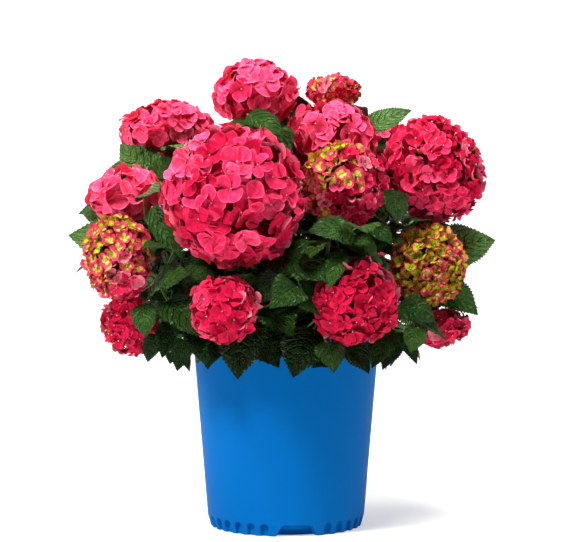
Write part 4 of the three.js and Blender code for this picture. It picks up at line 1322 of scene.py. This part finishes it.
pressed = dict(  # where a head is flatter than its ellipsoid, below 0 fuller: across, up, by what share
    upper_left=[(-0.8, 0.6, 0.22), (-0.95, -0.3, -0.1)],
    left=[(-0.55, 0.83, 0.3)],
    top_left=[(-0.8, 0.6, 0.08)],
    right=[(0.8, 0.6, 0.13), (0.75, -0.66, -0.13)],
    low_right=[(0.6, -0.8, 0.3)],
    low_left=[(-0.85, -0.53, 0.19)],
    top_right=[(0.85, 0.53, 0.14)],
    lower_left=[(-0.8, -0.6, 0.1)],
)
ruffles = dict(  # how unevenly the florets of a head stand, where it isn't 1
    left=0.5, top_left=0.6, centre=0.85, right=1.4, upper_left=0.8, upper_right=0.8, low_front_left=0.8,
    back_centre=0.8,
)
greenSides = dict(centre_right=(0.35, 0, -0.42), lower_left=(0.1, 0, -0.26), top_right=(-0.1, 0, -0.1))
petalColours = dict(  # the sepal, its rim and its eye; on the pink tints the paler rim is a painted highlight, on the green tints the pink rim is the sepal's own margin, and the darker eye at the foot is painted shade
    rose=((255, 62, 114), (254, 140, 172), (226, 46, 94)),
    cerise=((242, 36, 88), (250, 104, 146), (208, 28, 76)),
    crimson=((196, 10, 54), (228, 48, 98), (176, 12, 54)),
    blush=((238, 104, 132), (252, 176, 190), (222, 140, 120)),
    budding=((226, 226, 84), (222, 40, 98), (150, 160, 40)),
    budGreen=((180, 204, 20), (206, 26, 78), (64, 92, 8)),
    bead=((240, 204, 190), (240, 226, 190), (210, 200, 150)),
    shade=((146, 6, 38), (150, 8, 42), (110, 4, 28)),
    shadeGreen=((52, 66, 10), (70, 74, 12), (46, 60, 8)),
)
petalBack = colour(244, 160, 180)  # the paler back of the pink sepals
greenRims = dict(budding=(0.55, 0.66), budGreen=(0.78, 0.88))  # where the pink of a green sepal's rim starts
rose, cerise, crimson, blush, budding, budGreen, bead, shade, shadeGreen = range(len(petalColours))


def makePetalFinish(tint):
    f = Finish("petal_" + tint, Roughness=0.6, Specular_IOR_Level=0.05)
    plain, rim, eye = (colour(*one) for one in petalColours[tint])
    x, y = f.map("petalMap")
    side = abs(x * 2 - 1)
    out = ((side * side) + (y * 2 - 1) * (y * 2 - 1)) ** 0.5
    veins = ((x - 0.5) / (y + 0.45) * 62 + f.noise(f.join(x * 5, y * 5), 1, 2) * 3).sine()
    cloud = f.noise(f.join(x * 3, y * 3), 1.2, 3)
    if tint in greenRims:  # a green floret turns from its rim in to its foot
        out = (side * side * 0.7 + y * y) ** 0.5 + (f.noise(f.join(x * 4, y * 4), 1, 2) - 0.5) * 0.3
        edge = out.rising(*greenRims[tint]) * 0.95
    else:
        # the pink sepals' paler rim is a painted highlight along the edge
        edge = out.rising(0.8, 1.02) * 0.6
    base = f.mix(cloud.rising(0.35, 0.75) * 0.35, plain, rim)
    # the eye: the foot of each sepal is painted darker, painted shade where the sepals meet
    base = f.mix((1 - y.rising(0.02, 0.45 if tint == "budGreen" else 0.3)) * 0.8, base, eye)
    base = f.mix(edge, base, rim)
    base = f.mix(veins.rising(0.2, 1.0) * 0.14, base, eye)
    back = f.node("ShaderNodeNewGeometry", output="Backfacing")
    base = f.mix(back * 0.4, base, petalBack if tint in ("rose", "cerise", "crimson", "blush") else plain)
    f.set(Base_Color=base, Normal=f.bump(veins * 0.25 + cloud, 0.0003, 0.8))
    return f


discSide = 5
disc = np.stack(np.meshgrid(*[np.linspace(-1, 1, discSide)] * 2), -1).reshape(-1, 2)
disc = disc * np.sqrt(1 - disc[:, ::-1] ** 2 / 2)  # a square grid drawn in to a disc
disc[:, 1] += floret["point"] * np.maximum(1 - 2.2 * np.abs(disc[:, 0]), 0) * (disc[:, 1] > 0.9)


def spreadOver(count):  # points evenly over a unit ball
    i = np.arange(count)
    z = 1 - 2 * (i + 0.5) / count
    r = np.sqrt(1 - z * z)
    return np.stack([r * np.cos(floret["golden"] * i), r * np.sin(floret["golden"] * i), z], -1)


def layer(head, depth, cover, random):  # where the florets of one layer stand and which way they face
    size = np.array([head.wide, head.wide, head.high])
    mean = (2 * head.wide + head.high) / 3
    across = head.floret * lerp(floret["budSize"], 1, head.tone)
    count = max(floret["fewest"], round(cover * 4 * np.pi * (mean * depth) ** 2 / across ** 2))
    out = spreadOver(count)
    jitter = floret["jitter"] / math.sqrt(count) * floret["spacing"]
    out = unit(out + random.normal(0, jitter, out.shape))
    rise = lerp(floret["budCup"], floret["openCup"], head.tone) + floret["sink"]
    at = out * size * depth - unit(out / size) * rise * head.floret / 2
    ruffle = ruffles.get(head.name, 1)
    at = at * (1 + floret["lumps"] * ripple(out, 0.9, head.seed)[:, None])
    stray = random.normal(0, floret["depthSpread"] * ruffle, (count, 1))
    at = at + unit(out) * stray.clip(floret["deepest"], floret["highest"])
    lean = math.sin(math.radians(floret["tilt"])) * ruffle
    face = unit(unit(out / size) + random.normal(0, lean, out.shape))
    return at + head.centre, face


def sepals(at, face, size, ripe, ruffle, random):
    # across, along and up for each sepal's disc: along = size/2 (1 + y)/2, across = width x (foot .. 1),
    # up = cup along^2 + arch x^2 + ripple at the rim
    n = len(at)
    side = unit(np.cross(face, (0.31, 0.52, 0.8)))
    other = np.cross(face, side)
    spin = random.uniform(0, np.pi / 2, n)[:, None] + np.arange(4) * np.pi / 2
    spin = spin + random.normal(0, floret["spinSpread"], (n, 4))
    reach = size[:, None] / 2 * random.uniform(0.9, 1.06, (n, 4))
    x, y = disc[:, 0], disc[:, 1]
    narrow = floret["foot"] + (1 - floret["foot"]) * smoothly(-1.1, 0.15, y)
    along = reach[..., None] * (1 + y) / 2
    across = reach[..., None] * floret["sepalWide"] * random.uniform(0.9, 1.12, (n, 4, 1)) * x * narrow
    share = (1 + y) / 2
    spread = floret["cupSpread"] * ruffle
    cup = lerp(floret["budCup"], floret["openCup"], ripe)[:, None, None] + random.normal(0, spread, (n, 1, 1))
    cup = cup + random.normal(0, spread / 2, (n, 4, 1))
    arch = random.normal(floret["arch"], floret["archSpread"], (n, 4, 1)) * ruffle
    twist = np.tan(np.radians(random.normal(floret["twist"], floret["twist"] * 0.8, (n, 4, 1)))) * ruffle
    waves = np.sin(x * 2.6 + random.uniform(0, 2 * np.pi, (n, 4, 1)))
    waves = waves * np.sin(y * 2.2 + random.uniform(0, 2 * np.pi, (n, 4, 1)))
    lift = reach[..., None] * (cup * share ** 2 + arch * x * x + floret["rimWave"] * waves * (x * x + y * y))
    over = np.array([0, 1, 0, 1])[:, None] * floret["overlap"]
    lift = lift + across * twist + over + floret["lift"]
    out = side[:, None] * np.cos(spin)[..., None] + other[:, None] * np.sin(spin)[..., None]
    wide = np.cross(out, face[:, None])
    points = at[:, None, None] + out[:, :, None] * along[..., None] + wide[:, :, None] * across[..., None]
    return (points + face[:, None, None] * lift[..., None]).reshape(n * 4, len(disc), 3)


def greenSide(head, at):  # some heads turn on one side first: how much riper to the right and upwards
    return (at - head.centre) / head.wide @ np.array(greenSides.get(head.name, (0, 0, 0)))


def headParts(head):
    random = np.random.default_rng(head.seed)
    outer = layer(head, 1.0, floret["cover"], random)
    inside = 1 - floret["inner"] * head.floret * 3 / (2 * head.wide + head.high)
    inner = layer(head, inside, floret["innerCover"], random)
    at, face = np.vstack([outer[0], inner[0]]), np.vstack([outer[1], inner[1]])
    isInner = np.arange(len(at)) >= len(outer[0])
    ripe = head.tone + random.normal(0, spray["toneSpread"], len(at)) + greenSide(head, at)
    ripe = np.clip(ripe, 0, 1)
    size = head.floret * lerp(floret["budSize"], 1, ripe) * random.uniform(*floret["sizes"], len(at))
    turned = deeper.get(head.name, 0)
    # each head's shift towards rose or crimson, partly painted light and shade
    pick = random.uniform(0, 1, len(at)) + turned
    slots = np.where(pick < spray["roseTo"], rose, np.where(pick < spray["ceriseTo"], cerise, crimson))
    isBlush = (ripe < spray["blushBelow"]) & (pick < spray["blushTo"]) & (head.tone < 1)
    slots = np.where(isBlush, blush, slots)
    slots = np.where(ripe < spray["buddingBelow"], budding, slots)
    slots = np.where(ripe < spray["greenBelow"], budGreen, slots)
    isGreen = (slots == budGreen) | (slots == budding) & (size % 1 > spray["greenInside"])
    hidden = np.where(isGreen, shadeGreen, crimson if turned < spray["paleHead"] else shade)
    slots = np.where(isInner, hidden, slots)
    points = sepals(at, face, size, ripe, ruffles.get(head.name, 1), random)
    # what stands out past the head's own ellipsoid is pressed back towards it
    away = points - head.centre
    for across, high, share in pressed.get(head.name, []):
        away = away * (1 - share * np.maximum(unit(away) @ np.array([across, 0, high]), 0) ** 2)[..., None]
    far = lengthOf(away / np.array([head.wide, head.wide, head.high]))[..., None]
    edge = floret["pressFrom"]
    points = head.centre + away * np.where(far > edge, (edge + (far - edge) * floret["beyond"]) / far, 1)
    parts = [part(points, [skin(discSide, discSide)], np.repeat(slots, 4), (disc + 1) / 2)]
    beadPoints = np.vstack([np.eye(3), -np.eye(3)]) * floret["bead"]
    faces = np.array([(0, 1, 2), (1, 3, 2), (3, 4, 2), (4, 0, 2), (1, 0, 5), (3, 1, 5), (4, 3, 5), (0, 4, 5)])
    beads = at[:, None] + face[:, None] * floret["beadUp"] + beadPoints
    parts.append(part(beads, [faces], bead, np.full((6, 2), 0.5)))
    hub = head.centre - up * head.high * floret["hubDrop"]
    foot = hub + (at - head.centre) * floret["hubShare"]
    paths = np.stack([foot, lerp(foot, at, 0.5) - up * floret["pedicelSag"], at], 1)
    points, faces = tubes(paths, floret["pedicel"], 3)
    parts.append(part(points, faces, budGreen, np.full((points.shape[1], 2), 0.5)))
    return parts


print("making the flower heads")
petalFinishes = [makePetalFinish(tint) for tint in petalColours]
blossoms = dict(
    blossom_front=("centre", "centre_right", "low_front_left", "low_front_right"),
    blossom_left=("left", "lower_left", "low_left", "back_left", "upper_left"),
    blossom_top=("top_left", "top_right", "upper_right", "back_top"),
    blossom_right=("right", "low_right", "back_far_right", "back_upper_right"),
    blossom_back=("back_upper_left", "back_centre", "back_right", "low_back"),
    blossom_bud=("lower_right",),
)
for name, heads in blossoms.items():
    carried = [shoot for shoot in shoots if shoot.name in heads]
    parts = [one for shoot in carried for one in headParts(shoot)]
    slot = "bud_petals" if name == "blossom_bud" else "petals"
    makePiece(name, parts, petalFinishes, [shoot.node for shoot in carried], "petalMap")

# The studio: a pale floor that turns up behind the plant, soft light from the upper left and over the top,
# and the camera

studio = dict(
    sweepWide=12.0, sweepFront=-1.2, sweepBack=3.4, sweepTurn=1.2, sweepHigh=5.5, sweepRows=17,
    floorGlow=0.44, floorGlowFrom=(-0.75, -0.3), wallGlow=0.78, wallGlowFrom=(2.4, 4.0),
    sky=0.05, skySeen=0.85, aim=(0, 0, 0.3),
)
lights = dict(  # place, size and power
    key_light=((-1.9, -1.5, 2.2), 0.8, 88),
    fill_light=((0.35, -1.1, 2.7), 1.0, 76),
    crest_light=((-0.7, 0.75, 2.5), 1.2, 34),
)
view = dict(at=(0.0012, -2.0, 0.353), tilt=88.8, lens=101.98, sensor=36)


def makeSweep():  # flat, then a quarter circle, then upright
    turn = np.linspace(0, 1, studio["sweepRows"]) * np.pi / 2
    back, radius = studio["sweepBack"], studio["sweepTurn"]
    y = np.concatenate([[studio["sweepFront"]], back + radius * np.sin(turn), [back + radius]])
    z = np.concatenate([[0], radius * (1 - np.cos(turn)), [studio["sweepHigh"]]])
    x = np.array([-0.5, 0.5]) * studio["sweepWide"]
    points = np.stack(np.broadcast_arrays(x, y[:, None], z[:, None]), -1).reshape(-1, 3)
    mesh = bpy.data.meshes.new("studio_floor")
    mesh.from_pydata(points.tolist(), [], skin(len(y), 2).tolist())
    mesh.polygons.foreach_set("use_smooth", np.ones(len(mesh.polygons), bool))
    f = Finish("studio_white", Roughness=0.95, Emission_Strength=1)
    f.set(Base_Color=colour(236, 236, 236))
    back = f.axis(f.place(), "Y")
    glow = back.rising(*studio["floorGlowFrom"]) * studio["floorGlow"]
    glow = glow + back.rising(*studio["wallGlowFrom"]) * (studio["wallGlow"] - studio["floorGlow"])
    f.set(Emission_Color=f.join(glow, glow, glow))
    mesh.materials.append(f.material)
    floor = bpy.data.objects.new("studio_floor", mesh)
    bpy.context.scene.collection.objects.link(floor)


print("setting up the studio")
makeSweep()
for name, (at, size, power) in lights.items():
    lamp = bpy.data.lights.new(name, "AREA")
    lamp.shape, lamp.size, lamp.energy = "DISK", size, power
    light = bpy.data.objects.new(name, lamp)
    bpy.context.scene.collection.objects.link(light)
    light.location = at
    light.rotation_euler = (Vector(studio["aim"]) - Vector(at)).to_track_quat("-Z", "Y").to_euler()

world = bpy.data.worlds.new("studio_sky")
world.use_nodes = True
background = world.node_tree.nodes["Background"].inputs
background["Color"].default_value = (1, 1, 1, 1)
rays = world.node_tree.nodes.new("ShaderNodeLightPath")
seen = world.node_tree.nodes.new("ShaderNodeMapRange")
seen.inputs["To Min"].default_value = studio["sky"]
seen.inputs["To Max"].default_value = studio["skySeen"]
world.node_tree.links.new(rays.outputs["Is Camera Ray"], seen.inputs["Value"])
world.node_tree.links.new(seen.outputs["Result"], background["Strength"])
bpy.context.scene.world = world
bpy.context.scene.view_settings.view_transform = "Standard"

camera = bpy.data.objects.new("camera", bpy.data.cameras.new("camera"))
camera.data.lens, camera.data.sensor_width = view["lens"], view["sensor"]
camera.location = view["at"]
camera.rotation_euler = (math.radians(view["tilt"]), 0, 0)
bpy.context.scene.collection.objects.link(camera)
bpy.context.scene.camera = camera
